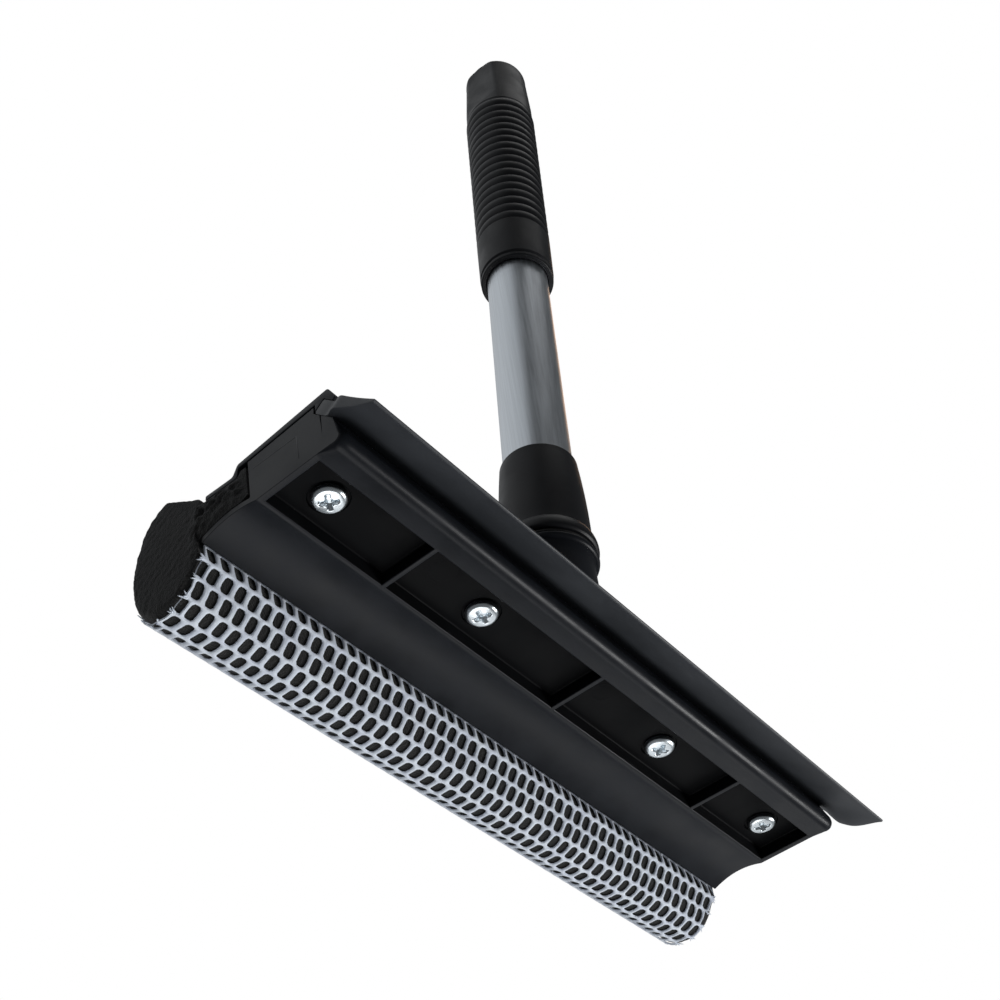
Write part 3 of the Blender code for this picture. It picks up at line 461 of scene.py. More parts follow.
def pore_group():
    """Open pores: round cells sunk between thin struts, at two sizes, with masks for painted shade
    in the pores and painted glints on the struts.
    """
    tree, given, out = node_group("open_pores", {"Vector": None, "Scale": 1500.0},
                                  ("Height", "Pores", "Glints"))
    warp = noise(tree, given["Vector"], 900.0, 2.0)
    spread = add(tree, "ShaderNodeCombineXYZ", {0: warp, 1: warp, 2: warp}).outputs[0]
    shift = add(tree, "ShaderNodeVectorMath", {0: spread, "Scale": 0.0004}, operation="SCALE")
    bent = add(tree, "ShaderNodeVectorMath", {0: given["Vector"], 1: shift.outputs[0]},
               operation="ADD").outputs[0]
    small_scale = sum_of(tree, "MULTIPLY", given["Scale"], 2.3)
    large, small = (add(tree, "ShaderNodeTexVoronoi", {"Vector": bent, "Scale": scale})
                    for scale in (given["Scale"], small_scale))
    cells = ranged(tree, large.outputs["Distance"], 0.15, 0.75)
    fine = ranged(tree, small.outputs["Distance"], 0.1, 0.8)
    spots = ranged(tree, noise(tree, given["Vector"], 2400.0, 1.0), 0.66, 0.74)
    # Pore shade darkens the cells' middles as painted shade; Glints are painted highlights.
    feed(tree, out, {"Height": sum_of(tree, "ADD", cells, sum_of(tree, "MULTIPLY", fine, 0.5)),
                     "Pores": sum_of(tree, "MULTIPLY", cells, fine),
                     "Glints": sum_of(tree, "MULTIPLY", spots, fine)})
    return tree


def drawn_group():
    """Drawn lines: a noise stretched along the tube, fine across it and slow along it."""
    tree, given, out = node_group("drawn_lines", {"Vector": None, "Scale": 1400.0}, ("Lines",))
    laid = add(tree, "ShaderNodeMapping", {"Vector": given["Vector"],
                                           "Rotation": (-AXIS_LEAN, 0.0, 0.0),
                                           "Scale": (1.0, 1.0, 0.012)})
    feed(tree, out, {"Lines": noise(tree, laid.outputs[0], given["Scale"], 4.0, 0.65)})
    return tree


def yarn_group():
    """Knitted yarn: slanting loops crossed by fine fibres."""
    tree, given, out = node_group("knitted_yarn", {"Vector": None, "Scale": 1200.0},
                                  ("Height", "Shade"))
    loops = add(tree, "ShaderNodeTexWave", {"Vector": given["Vector"], "Scale": given["Scale"],
                                            "Distortion": 3.0, "Detail": 2.0},
                bands_direction="DIAGONAL").outputs["Fac"]
    fibres = noise(tree, given["Vector"], 5200.0, 3.0, 0.7)
    slow = noise(tree, given["Vector"], 260.0, 3.0)
    feed(tree, out, {
        "Height": sum_of(tree, "ADD", sum_of(tree, "MULTIPLY", loops, 0.6), fibres),
        "Shade": ranged(tree, slow, 0.35, 0.65)})
    return tree


GROUP_MAKERS = {"moulded_grain": grain_group, "scuffs": scuff_group, "open_pores": pore_group,
                "drawn_lines": drawn_group, "knitted_yarn": yarn_group}


def effect(tree, name, sockets):
    """Place a shared effect in a material, making its group the first time."""
    group = bpy.data.node_groups.get(name) or GROUP_MAKERS[name]()
    return add(tree, "ShaderNodeGroup", sockets, node_tree=group).outputs


def paint(name):
    """Return one of the scene's colours."""
    return tuple(getattr(bpy.context.scene.squeegee_finishes, name))


def surface(name, sockets):
    """Return a new material with its tree, its Principled node and its object coordinates."""
    made = bpy.data.materials.new(name)
    made.use_nodes = True
    tree = made.node_tree
    shader = feed(tree, tree.nodes["Principled BSDF"], sockets)
    return made, tree, shader, add(tree, "ShaderNodeTexCoord").outputs["Object"]


def bumped(tree, height, depth):
    """Return the normal that a height gives, with its depth in millimetres."""
    return add(tree, "ShaderNodeBump", {"Height": height, "Distance": depth * MM}).outputs[0]


def moulded(name, colour, rough, grain, depth, scuffs, lighter=1.5, specular=0.5):
    """A moulded plastic or rubber: grain, uneven gloss and a few fine scratches."""
    made, tree, shader, places = surface(name, {"Specular IOR Level": specular})
    skin = effect(tree, "moulded_grain", {"Vector": places, "Scale": grain})
    worn = effect(tree, "scuffs", {"Vector": places, "Amount": scuffs})["Mask"]
    tone = mixed(tree, skin["Patches"], shaded(colour, 0.86), shaded(colour, 1.14))
    gloss = ranged(tree, skin["Patches"], 0.0, 1.0, rough - 0.05, rough + 0.06)
    feed(tree, shader, {
        "Base Color": mixed(tree, worn, tone, shaded(colour, lighter * 1.6)),
        "Roughness": sum_of(tree, "ADD", gloss, sum_of(tree, "MULTIPLY", worn, 0.2)),
        "Normal": bumped(tree, skin["Height"], depth)})
    return made


def black_plastic():
    """Semi-matte black moulding with a bluish sheen."""
    return moulded("black_plastic", paint("plastic"), 0.36, 2600.0, 0.012, 0.25, specular=0.19)


def pocket_plastic():
    """The cover's plastic in the trough: a deeper black that paints the shade of the recess,
    rougher and with a weaker sheen than the rest.
    """
    return moulded("pocket_plastic", shaded(paint("plastic"), 0.18), 0.55, 2200.0, 0.01, 0.3, 1.2,
                   specular=0.08)


def grip_plastic():
    """Soft matte black of the grip and the ferrule."""
    return moulded("grip_plastic", paint("grip"), 0.42, 3000.0, 0.018, 0.2, specular=0.25)


def blade_rubber():
    """Smooth rubber with a faint bluish bloom."""
    return moulded("blade_rubber", paint("rubber"), 0.5, 1500.0, 0.006, 0.12, 1.3)


def sealing_rubber():
    """Matte black washer rubber."""
    return moulded("sealing_rubber", paint("seal"), 0.65, 3000.0, 0.015, 0.1)


def charcoal_foam():
    """Open-cell foam: painted shade darkens the pores between lighter struts, with a few painted
    glints.
    """
    colour = paint("foam")
    made, tree, shader, places = surface("charcoal_foam", {
        "Roughness": 0.92, "Sheen Weight": 0.08, "Sheen Roughness": 0.6})
    pores = effect(tree, "open_pores", {"Vector": places, "Scale": 2100.0})
    # The pores are darkened by painted shade, and the glints are painted highlights in the base
    # colour.
    tone = mixed(tree, pores["Pores"], shaded(colour, 0.35), shaded(colour, 1.7))
    feed(tree, shader, {"Base Color": mixed(tree, pores["Glints"], tone, shaded(colour, 5.0)),
                        "Normal": bumped(tree, pores["Height"], 0.12)})
    return made


def white_net():
    """Knitted yarn with a soft sheen."""
    colour = paint("net")
    made, tree, shader, places = surface("white_net", {"Roughness": 0.78, "Sheen Weight": 0.4})
    yarn = effect(tree, "knitted_yarn", {"Vector": places})
    tone = mixed(tree, yarn["Shade"], shaded(colour, 0.9), shaded(colour, 1.05))
    feed(tree, shader, {"Base Color": tone, "Normal": bumped(tree, yarn["Height"], 0.05)})
    return made


def zinc_steel():
    """Bright zinc plate: clouded gloss and fine stamping marks."""
    colour = paint("zinc")
    made, tree, shader, places = surface("zinc_steel", {"Metallic": 1.0})
    skin = effect(tree, "moulded_grain", {"Vector": places, "Scale": 1500.0})
    feed(tree, shader, {
        "Base Color": mixed(tree, skin["Patches"], shaded(colour, 0.82), shaded(colour, 1.1)),
        "Roughness": ranged(tree, skin["Patches"], 0.0, 1.0, 0.2, 0.34),
        "Normal": bumped(tree, skin["Height"], 0.02)})
    return made


def satin_aluminium():
    """Drawn tube: fine lines along it in both colour and gloss."""
    colour = paint("aluminium")
    made, tree, shader, places = surface("satin_aluminium", {"Metallic": 1.0})
    lines = effect(tree, "drawn_lines", {"Vector": places})["Lines"]
    share = ranged(tree, lines, 0.35, 0.65)
    feed(tree, shader, {
        "Base Color": mixed(tree, share, shaded(colour, 0.9), shaded(colour, 1.06)),
        "Roughness": ranged(tree, lines, 0.35, 0.65, 0.3, 0.4),
        "Normal": bumped(tree, lines, 0.01)})
    return made


def finish(maker):
    """Return a material, making it the first time it is asked for."""
    name = maker.__name__ + ".look"
    if name not in bpy.data.materials:
        maker().name = name
    return bpy.data.materials[name]


# Places shared by several pieces

PARTING_BLADE_SIDE = 16.5
PARTING_SPONGE_SIDE = 15.2
COVER_BLADE_WIDTH = 8.0
COVER_SPONGE_WIDTH = 12.2
RIM_LAND = 1.0
FLANGE_WALL = 1.7
FLANGE_DROP = 0.7
COVE_DEPTH = 1.6
SPONGE_WALL_LEAN = 1.3
BACK_FLANGE = 13.9
BACK_FLANGE_RISE = 0.5
BACK_FLANGE_WALL = 1.5
BACK_HEEL = 17.0
BLADE_ANGLE = math.radians(48.0)
BLADE_MOUTH = (-13.5, 13.9)
BLADE_ROOT_DEPTH = 3.5
LIP_REACH = 4.4
SCREW_PLACES = (-87.4, -36.5, 36.5, 87.4)
RIB_PLACES = (-61.95, 0.0, 61.95)
GAP = 0.3
SLOT_GAP = 0.08
SPONGE_HEIGHT = 6.2
SPONGE_STAND_OFF = 1.15
SPONGE_BACK_SLOPE = 0.71
SPONGE_BACK_ROUND = 1.6
SPONGE_END_SHRINK = 0.085

# The foam's bulge under the front flange: how far, at which height and how wide
BULGE_OUT = 1.1
BULGE_HEIGHT = -3.0
BULGE_SPREAD = 1.9


def blade_point(reach, depth):
    """Return (y, z) at a reach along the blade from its slot and a depth through it."""
    reach, depth = np.asarray(reach, float), np.asarray(depth, float)
    cosine, sine = math.cos(BLADE_ANGLE), math.sin(BLADE_ANGLE)
    return np.stack((BLADE_MOUTH[0] - reach * cosine + depth * sine,
                     BLADE_MOUTH[1] - reach * sine - depth * cosine), axis=-1)


def blade_thickness(reach, blade):
    """Return the thickness at a reach: it falls from root to tip with the share to 1.55."""
    share = np.clip(np.asarray(reach, float) / blade.free, 0.0, 1.0)
    return blade.root - (blade.root - blade.tip) * share ** 1.55


def flange_end(head):
    """Return how far out both flanges end."""
    return head.trough_width / 2 + RIM_LAND + head.flange


def flange_line(head, lift, count=17):
    """Return the coved line of the front flange: a fall with a parabola's rise over it."""
    share = np.linspace(0.0, 1.0, count)
    out = flange_end(head) - head.flange * (1 - share)
    return np.column_stack((out, lift - FLANGE_DROP * share + COVE_DEPTH * 4 * share * (1 - share)))


def sponge_out(head, sponge):
    """Return how far out the bulb's middle lies."""
    return flange_end(head) + SPONGE_STAND_OFF + sponge.half_depth


def bulb_line(head, sponge, count=721):
    """Return the bulb from the front flange round to the back one.

    The bulb is a rounded oval: across and down it follows cos and sin of an angle to the power
    2 / p, with p = 2.5 towards the head and 2.1 away from it. It is kept under a line that
    slants up from the back flange: the lesser of the two heights, rounded where they meet.
    Just below the front flange it bulges back towards the head by a bell curve of the height.
    """
    angle = math.pi - TAU * np.linspace(0.0, 1.0, count)
    outer = np.cos(angle) >= 0
    power = np.where(outer, 2.1, 2.5)
    across = np.abs(np.cos(angle)) ** (2 / power)
    down = np.abs(np.sin(angle)) ** (2 / power)
    out = sponge_out(head, sponge) + np.where(outer, 1.0, -1.0) * sponge.half_depth * across
    height = SPONGE_HEIGHT - np.sign(np.sin(angle)) * sponge.half_height * down
    slant = BACK_FLANGE + SPONGE_BACK_SLOPE * (out - flange_end(head))
    share = np.clip(0.5 + (slant - height) / (2 * SPONGE_BACK_ROUND), 0.0, 1.0)
    height = slant + (height - slant) * share - SPONGE_BACK_ROUND * share * (1 - share)
    out = out - np.where(outer, 0.0, BULGE_OUT * np.exp(
        -((height - BULGE_HEIGHT) / BULGE_SPREAD) ** 2))
    low = FLANGE_WALL - FLANGE_DROP - GAP
    high = BACK_FLANGE - BACK_FLANGE_WALL + BACK_FLANGE_RISE + GAP
    start = int(np.argmax(height < low))
    stop = int(len(height) - np.argmax(height[::-1] > high))
    return np.column_stack((out, height))[start:stop]


def along(line, places):
    """Return the points of a line at given shares of its length, and the ways out of it."""
    run = run_of(line)
    places = np.asarray(places, float) * run[-1]
    step = 0.4
    points, ahead, behind = (
        np.stack([np.interp(spot, run, line[:, axis]) for axis in (0, 1)], axis=-1)
        for spot in (places, places + step, places - step))
    way = unit(ahead - behind)
    return points, np.stack((way[..., 1], -way[..., 0]), axis=-1)


def with_x(x, section):
    """Return points whose X is x and whose (Y, Z) come from a section."""
    x = np.broadcast_to(x, section.shape[:-1])
    return np.concatenate((x[..., None], section), axis=-1)


# Pieces of the head

END_TURNS = np.radians((0.0, 30.0, 60.0, 90.0))

# How far a rib and a side of the trough slant, and the rim beside a side
RIB_DRAFT = 0.1
SIDE_DRAFT = 0.5
TROUGH_MARGIN = 0.9

# A screw's seat: its play round the head, its depth and how far out the grid bends round it
SEAT_MARGIN = 0.8
SEAT_DEPTH = 0.5
SEAT_BEND = 6.9

# The trough's floor marks as (x, y, radius), and how far the grid bends beyond their radius
MARKS = ((-53.0, -2.6, 4.0), (8.0, -2.6, 3.2))
MARK_BEND = 0.6

# Steps from the edge of a seat or a mark, and how much deeper the floor lies at each
SEAT_EDGE = ((-0.2, -0.05, 0.1), (SEAT_DEPTH, 0.85 * SEAT_DEPTH, 0.0))
MARK_EDGE = ((-0.35, -0.1, 0.1), (0.07, -0.03, 0.0))


def pocket_steps(draft):
    """Return the distances inside a pocket's upper edge at which its wall bends."""
    return np.array((-0.3, -0.12, 0.0, 0.06, draft - 0.05, draft + 0.12, draft + 0.45))


def pocket_share(inside, draft):
    """Return how deep a pocket is, 0 to 1, at a distance inside its wall's upper edge."""
    return np.interp(inside, pocket_steps(draft), (0.0, 0.012, 0.05, 0.13, 0.94, 0.985, 1.0))


def trough_lines(head, seat):
    """Return the X and the Y places of the trough's grid lines: close where it bends."""
    half, rim = head.body / 2, head.trough_width / 2
    end, side = half - head.end_wall, head.rib / 2
    rib_steps, side_steps = pocket_steps(RIB_DRAFT), pocket_steps(SIDE_DRAFT)
    x_marks = [-half, half, *(-end + rib_steps), *(end - rib_steps)]
    for rib in RIB_PLACES:
        x_marks += [*(rib - side - rib_steps), *(rib + side + rib_steps)]
    y_marks = [*(rim - side_steps), *(-rim + side_steps), rim + TROUGH_MARGIN,
               -rim - TROUGH_MARGIN]
    circles = [(place, 0.0, seat + np.array((-0.45, -0.2, -0.05, 0.1, 0.35)))
               for place in SCREW_PLACES]
    circles += [(x, y, radius + np.array(MARK_EDGE[0])) for x, y, radius in MARKS]
    for x, y, rings in circles:
        x_marks += [*(x - rings), *(x + rings)]
        y_marks += [*(y - rings), *(y + rings)]
    y_marks = [mark for mark in y_marks if abs(mark) <= rim + TROUGH_MARGIN + 1e-6]
    return stations(x_marks, 1.5), stations(y_marks, 1.0)[::-1]


def trough_grid(head):
    """Return the trough's stations along X and its grid of points.

    The depth is the full depth times the lesser of two shares, one for the distance to the
    nearest rib or end wall and one for the distance to the nearest side wall. Round each
    screw and mark the square grid is bent so that its square rings become circles, and the
    depth follows the distance from the middle.
    """
    rim, seat = head.trough_width / 2, head.screw + SEAT_MARGIN
    x_line, y_line = trough_lines(head, seat)
    x, y = np.meshgrid(x_line, y_line, indexing="ij")
    x_new, y_new = x.copy(), y.copy()
    deeper = np.zeros_like(x)
    places = [(place, 0.0, seat, SEAT_BEND, SEAT_EDGE) for place in SCREW_PLACES]
    places += [(*mark, mark[2] + MARK_BEND, MARK_EDGE) for mark in MARKS]
    for x_mark, y_mark, radius, far, (steps, depths) in places:
        side, up = x - x_mark, y - y_mark
        square = np.maximum(np.abs(side), np.abs(up))
        circle = square / np.maximum(np.hypot(side, up), 1e-6)
        weight = 1 - smoothstep((square - radius - 0.35) / (far - radius - 0.35))
        x_new += weight * (side * circle - side)
        y_new += weight * (up * circle - up)
        deeper += np.interp(square, radius + np.array(steps), depths)
    beside = np.min([head.body / 2 - head.end_wall - np.abs(x)]
                    + [np.abs(x - rib) - head.rib / 2 for rib in RIB_PLACES], axis=0)
    share = np.minimum(pocket_share(beside, RIB_DRAFT), pocket_share(rim - np.abs(y), SIDE_DRAFT))
    depth = head.trough_depth * share + deeper * (share > 0.99)
    return x_line, np.stack((x_new, y_new, depth), axis=-1)


# The bead's middle: how far out, and its drop under the bead's radius
BEAD_OUT = -13.6
BEAD_DROP = 1.3

# The slit in the slot's wall at each end: its reaches, its bottom as (y, z) and its length
SLIT_REACHES = (0.6, -2.6)
SLIT_NOTCH = (-10.5, 4.6)
SLIT_LENGTH = 4.2

# Rounding of the cover's ends, and how much more the bead's end is drawn in and shortened
END_EDGE = 0.12
BEAD_EDGE = 1.1
BEAD_END = 2.5


def cover_section(head, blade, low, high):
    """Return the cover's section outside the trough, from the bead round to the cove.

    low and high are the ends of the slot's wall, which the slit is cut in.
    """
    foot_out = COVER_SPONGE_WIDTH - SPONGE_WALL_LEAN
    upper = flange_line(head, FLANGE_WALL, 25)
    foot = (foot_out, float(np.interp(foot_out, upper[:, 0], upper[:, 1])))
    upper = upper[upper[:, 0] > foot_out + 0.4]
    lower = flange_line(head, 0.0, 25)[::-1]
    turn = np.radians(np.linspace(-75.0, -210.0, 19))
    bead = np.column_stack((BEAD_OUT + head.bead * np.cos(turn),
                            head.bead - BEAD_DROP + head.bead * np.sin(turn)))
    slot = blade.root + SLOT_GAP
    lip = float(blade_thickness(LIP_REACH, blade)) + SLOT_GAP
    outer = filleted([
        *sharp(bead),
        (*blade_point(LIP_REACH + 0.35, lip + 0.35), 0.25),
        (*blade_point(LIP_REACH, lip), 0.3),
        *sharp(low + (high - low) * share for share in (0.0, 0.42, 0.5, 0.58, 1.0)),
        (*blade_point(-BLADE_ROOT_DEPTH - GAP, slot), 0.3),
        (-COVER_BLADE_WIDTH, PARTING_BLADE_SIDE - 0.25, 0.3),
        (COVER_SPONGE_WIDTH, PARTING_SPONGE_SIDE - 0.25, 0.3),
        (*foot, 0.4),
        *sharp(upper[:-1]),
        (*upper[-1], 0.45),
        (*lower[0], 0.45),
        *sharp(lower[1:]),
    ], steps=4, hold=0.2)
    first = int(np.argmin(np.linalg.norm(outer - bead[0], axis=1)))
    return np.roll(outer, -first, axis=0)


def cover_shell(head, blade):
    """The front cover: the trough's grid, and one closed section round the rest of it.

    A slit runs a little way into the slot's wall from each end. The ends are rounded, the
    bead's more than the rest.
    """
    x_line, trough = trough_grid(head)
    half = head.body / 2
    low, high = (blade_point(reach, blade.root + SLOT_GAP) for reach in SLIT_REACHES)
    outer = cover_section(head, blade, low, high)
    around = with_x(x_line[:, None], np.repeat(outer[None], len(x_line), axis=0))
    span = high - low
    share = np.clip((outer - low) @ span / np.linalg.norm(span) ** 2, 0.0, 1.0)
    off = np.linalg.norm(outer - low - share[:, None] * span, axis=1)
    slit = np.where(off < 0.05, np.clip(1 - np.abs(share - 0.5) / 0.05, 0.0, 1.0), 0.0)
    cut = smoothstep((np.abs(x_line) - half + SLIT_LENGTH) / 0.5)[:, None] * slit
    around[..., 1:] += cut[..., None] * (SLIT_NOTCH - (low + high) / 2)
    rest = np.concatenate((trough, around), axis=1)
    by_bead = np.hypot(rest[0, :, 1] - BEAD_OUT, rest[0, :, 2] - head.bead + BEAD_DROP) - head.bead
    beside_bead = 1 - smoothstep((by_bead - 0.1) / 1.6)
    edge, reach = END_EDGE + BEAD_EDGE * beside_bead, END_EDGE + BEAD_END * beside_bead
    near = np.clip(1 - (half - np.abs(x_line)) / 9.0, 0.0, 1.0)[:, None]
    rest[..., 0] -= np.sign(x_line)[:, None] * reach * near
    shell = Shell()
    shell.grid(rest, close_columns=True)
    loop = rest[0, :, 1:]
    for sign, row in ((-1, rest[0]), (1, rest[-1])):
        rings = [row]
        for angle in np.radians((22.5, 45.0, 67.5, 90.0)):
            drawn = inset(loop, (edge * (1 - math.cos(angle)))[:, None])
            rings.append(with_x(row[:, 0] + sign * reach * math.sin(angle), drawn))
        shell.grid(np.array(rings), close_columns=True)
        shell.polygon(rings[-1])
    return shell


# The end walls' raised lines as pairs of (y, z), their half width and their height
END_LINES = (((-2.8, 11.2), (-3.6, 3.1)), ((10.4, 11.4), (-2.3, 11.0)))
END_LINE_HALF = 0.15
END_LINE_HEIGHT = 0.055


def in_trough(mesh, head):
    """Return for each face of the finished cover whether its middle lies in the trough."""
    middles = np.empty(len(mesh.polygons) * 3)
    mesh.polygons.foreach_get("center", middles)
    x, y, z = (middles.reshape(-1, 3) / MM - (0.0, HEAD_OUT, HEAD_LIFT)).T
    return ((z > 0.15) & (z < head.trough_depth + 1.0) & (np.abs(y) < head.trough_width / 2)
            & (np.abs(x) < head.body / 2 - head.end_wall + 0.2))


def end_lines(shell, head):
    """Thin raised lines on each end wall: low ridges with a round top."""
    turn = np.linspace(0.0, math.pi, 7)
    share = np.array((-0.02, 0.0, 1.0, 1.02))[:, None, None]
    height = END_LINE_HEIGHT * np.array((0.0, 1.0, 1.0, 0.0))[:, None]
    for sign in (-1, 1):
        for start, stop in np.array(END_LINES):
            way = unit(stop - start)
            side = np.array((-way[1], way[0])) * END_LINE_HALF
            section = start + (stop - start) * share + np.cos(turn)[None, :, None] * side
            x = sign * head.body / 2 + sign * (np.sin(turn)[None] * height - 0.02)
            ridge = with_x(x, section)
            shell.grid(ridge, close_columns=True)
            for row in (0, -1):
                shell.polygon(ridge[row])


# Two corners of the housing's skin as (y, z), and the rounding of its ends
HOUSING_CREST = (-12.1, 19.4)
HOUSING_HEEL = (15.6, 17.0)
HOUSING_EDGE = 0.22


def housing_section(head):
    """Return the housing's section: skin, blade cheek and sponge flange, its corners rounded."""
    mouth = blade_point(0.0, -SLOT_GAP)
    slot_end = blade_point(-BLADE_ROOT_DEPTH - GAP, -SLOT_GAP)
    tongue_out = -COVER_BLADE_WIDTH - GAP
    along_end = (tongue_out - slot_end[0]) / math.sin(BLADE_ANGLE)
    tongue = (tongue_out, slot_end[1] - along_end * math.cos(BLADE_ANGLE))
    inner = BACK_FLANGE - BACK_FLANGE_WALL
    heel_inner = BACK_HEEL - BACK_FLANGE_WALL
    slope = (PARTING_SPONGE_SIDE - PARTING_BLADE_SIDE) / (COVER_SPONGE_WIDTH + COVER_BLADE_WIDTH)
    under = PARTING_BLADE_SIDE + GAP
    return filleted([
        (*HOUSING_CREST, 0.9),
        (mouth[0] - 0.9, mouth[1] + 0.9, 0.35),
        (*mouth, 0.25),
        (*slot_end, 0.3),
        (*tongue, 0.2),
        (tongue_out, under + slope * (tongue_out + COVER_BLADE_WIDTH), 0.2),
        (COVER_SPONGE_WIDTH + GAP, PARTING_SPONGE_SIDE + GAP, 0.2),
        (heel_inner - GAP, PARTING_SPONGE_SIDE + GAP, 0.5),
        (heel_inner, inner, 0.6),
        (flange_end(head), inner + BACK_FLANGE_RISE, 0.4),
        (flange_end(head), BACK_FLANGE + BACK_FLANGE_RISE, 0.4),
        (BACK_HEEL, BACK_FLANGE, 0.9),
        (*HOUSING_HEEL, 1.1),
    ], steps=5, hold=0.3)


def housing_shell(head):
    """The housing's bar: its section carried along X, with its ends rounded in."""
    section = spaced(housing_section(head), 3.0, closed=True)
    half, edge = head.body / 2, HOUSING_EDGE
    left, right = ([with_x(sign * (half - edge * (1 - math.sin(angle))),
                           inset(section, edge * (1 - math.cos(angle))))
                    for angle in END_TURNS] for sign in (-1, 1))
    inner = half - edge - 0.4
    middle = [with_x(place, section) for place in stations((-inner, -30.0, 30.0, inner), 5.0)]
    rows = left[::-1] + middle + right
    shell = Shell()
    shell.grid(np.array(rows), close_columns=True)
    shell.polygon(rows[0])
    shell.polygon(rows[-1])
    return shell


# Heights and sizes of the neck, and how much its root is wider
NECK_ROOT = 17.4
NECK_TOP = 47.0
COLLAR_HALF = 1.2
NECK_FLARE = 26.0
FLARE_ALONG = 8.0
FLARE_ACROSS = 0.8
SOCKET_FLOOR = 23.0
THREAD_RADIUS = 9.4


def neck_shell(head):
    """The neck: an oval flare that dies away with the square of the height, then the collar.

    At the root the flare adds FLARE_ALONG along X and FLARE_ACROSS across it. The collar
    bulges as a half round.
    """
    height = NECK_ROOT + NECK_FLARE * np.linspace(0.0, 1.0, 29)
    flare = ((NECK_ROOT + NECK_FLARE - height) / NECK_FLARE) ** 2
    turn = np.radians(np.linspace(-78.0, 78.0, 15))
    proud = head.collar - head.neck
    collar = np.column_stack((head.neck + proud * np.cos(turn),
                              NECK_TOP - COLLAR_HALF + COLLAR_HALF * np.sin(turn)))
    rim, bore = head.neck + proud / 4, THREAD_RADIUS + GAP
    mouth = filleted([(rim + 0.3, NECK_TOP - 0.3, 0.0), (rim, NECK_TOP, 0.25),
                      (bore, NECK_TOP, 0.3), (bore, SOCKET_FLOOR, 0.0), (0.0, SOCKET_FLOOR, 0.0)],
                     steps=3, hold=0.1, closed=False)
    round_part = np.vstack((collar, mouth[1:]))
    along_x = np.concatenate((head.neck + FLARE_ALONG * flare, round_part[:, 0]))
    across = np.concatenate((head.neck + FLARE_ACROSS * flare, round_part[:, 0]))
    up = np.concatenate((height, round_part[:, 1]))
    angle = np.linspace(0.0, TAU, 112, endpoint=False)[None]
    rings = np.stack((along_x[:, None] * np.cos(angle), across[:, None] * np.sin(angle),
                      np.broadcast_to(up[:, None], (len(up), angle.size))), axis=-1)
    shell = Shell()
    shell.grid(rings, close_columns=True)
    shell.polygon(rings[0])
    return shell


def joined(mesh, tool):
    """Return the union of two closed meshes, with any edge that it leaves open filled."""
    items = [bpy.data.objects.new("joined", mesh), bpy.data.objects.new("tool", tool)]
    for item in items:
        bpy.context.scene.collection.objects.link(item)
    union = items[0].modifiers.new("union", "BOOLEAN")
    union.operation = "UNION"
    union.solver = "EXACT"
    union.object = items[1]
    result = bpy.data.meshes.new_from_object(
        items[0].evaluated_get(bpy.context.evaluated_depsgraph_get()))
    for item in items:
        bpy.data.objects.remove(item, do_unlink=True)
    work = bmesh.new()
    work.from_mesh(result)
    open_edges = [edge for edge in work.edges if edge.is_boundary]
    bmesh.ops.holes_fill(work, edges=open_edges, sides=0)
    work.to_mesh(result)
    work.free()
    result.shade_smooth()
    result.set_sharp_from_angle(angle=math.radians(32.0))
    return result


# How much longer and shorter the blade's ends are in the middle, and the right end's sag
BLADE_END_LONGER = 2.6
BLADE_END_SHORTER = 0.8
BLADE_END_SAG = 2.0

# Roundings of the blade's ends and wiping edge, and the chamfer of its root
BLADE_END_ROUND = 0.25
BLADE_TIP_ROUND = 0.25
BLADE_ROOT_CHAMFER = 0.35


def blade_shell(head, blade):
    """The blade: a strip that thins along its reach and flares past the head at both ends.

    The flare grows as a smooth step of the share of the reach: from -0.04 to 0.2 at the right
    end, and from 0 to 0.4 at the left. A half sine of that share makes the right end longer and
    the left one shorter in the middle. The right end also sags past the head.
    """
    chamfer, tip_start = BLADE_ROOT_CHAMFER, blade.free - BLADE_TIP_ROUND
    reach = np.concatenate(([-BLADE_ROOT_DEPTH, -BLADE_ROOT_DEPTH + chamfer],
                            np.linspace(0.0, tip_start, 40)))
    front = np.column_stack((reach, blade_thickness(reach, blade)))
    back = np.column_stack((reach, np.zeros_like(reach)))
    front[0, 1] -= chamfer
    back[0, 1] += chamfer
    turn = np.radians(np.linspace(0.0, 90.0, 5))[1:]
    edge_reach = tip_start + BLADE_TIP_ROUND * np.sin(turn)
    edge = (blade.tip / 2 - 0.08) * (1 - np.cos(turn))
    edge_thick = blade_thickness(edge_reach, blade) - edge
    front = np.vstack((front, np.column_stack((edge_reach, edge_thick))))
    back = np.vstack((back, np.column_stack((edge_reach, edge))))
    spread = np.clip(front[:, 0] / blade.free, 0.0, 1.0)
    right = (blade.flare * smoothstep((front[:, 0] / blade.free + 0.04) / 0.24)
             + BLADE_END_LONGER * np.sin(math.pi * spread))
    left = (blade.flare * smoothstep(spread / 0.4)
            - BLADE_END_SHORTER * np.sin(math.pi * spread))
    sag = BLADE_END_SAG * smoothstep((spread - 0.1) / 0.3) * smoothstep((1.0 - spread) / 0.5)
    half, soft = head.body / 2, BLADE_END_ROUND
    most = (front[:, 1] - back[:, 1]) * 0.45

    def station(x, drawn):
        """Return both sides at X places, drawn in towards each other."""
        room = np.minimum(drawn, most)
        droop = sag * smoothstep((x - half + 4.0) / 9.0)
        return [with_x(x, blade_point(line[:, 0], line[:, 1] + inwards * room + droop))
                for line, inwards in ((front, -1), (back, 1))]

    left_end, right_end = ([
        station(sign * (half + flare - soft + soft * math.sin(angle)), soft * (1 - math.cos(angle)))
        for angle in END_TURNS] for sign, flare in ((-1, left), (1, right)))
    inner = []
    close = (-0.985, -0.95, -0.915, 0.915, 0.95, 0.985)
    for share in np.sort(np.append(np.linspace(-1.0, 1.0, 61), close)):
        flare = (right if share > 0 else left) * smoothstep((abs(share) - 0.8) / 0.2)
        inner.append(station((half + flare - soft - 0.3) * share, 0.0))
    shell = Shell()
    bar(shell, np.array(left_end[::-1] + inner + right_end))
    return shell


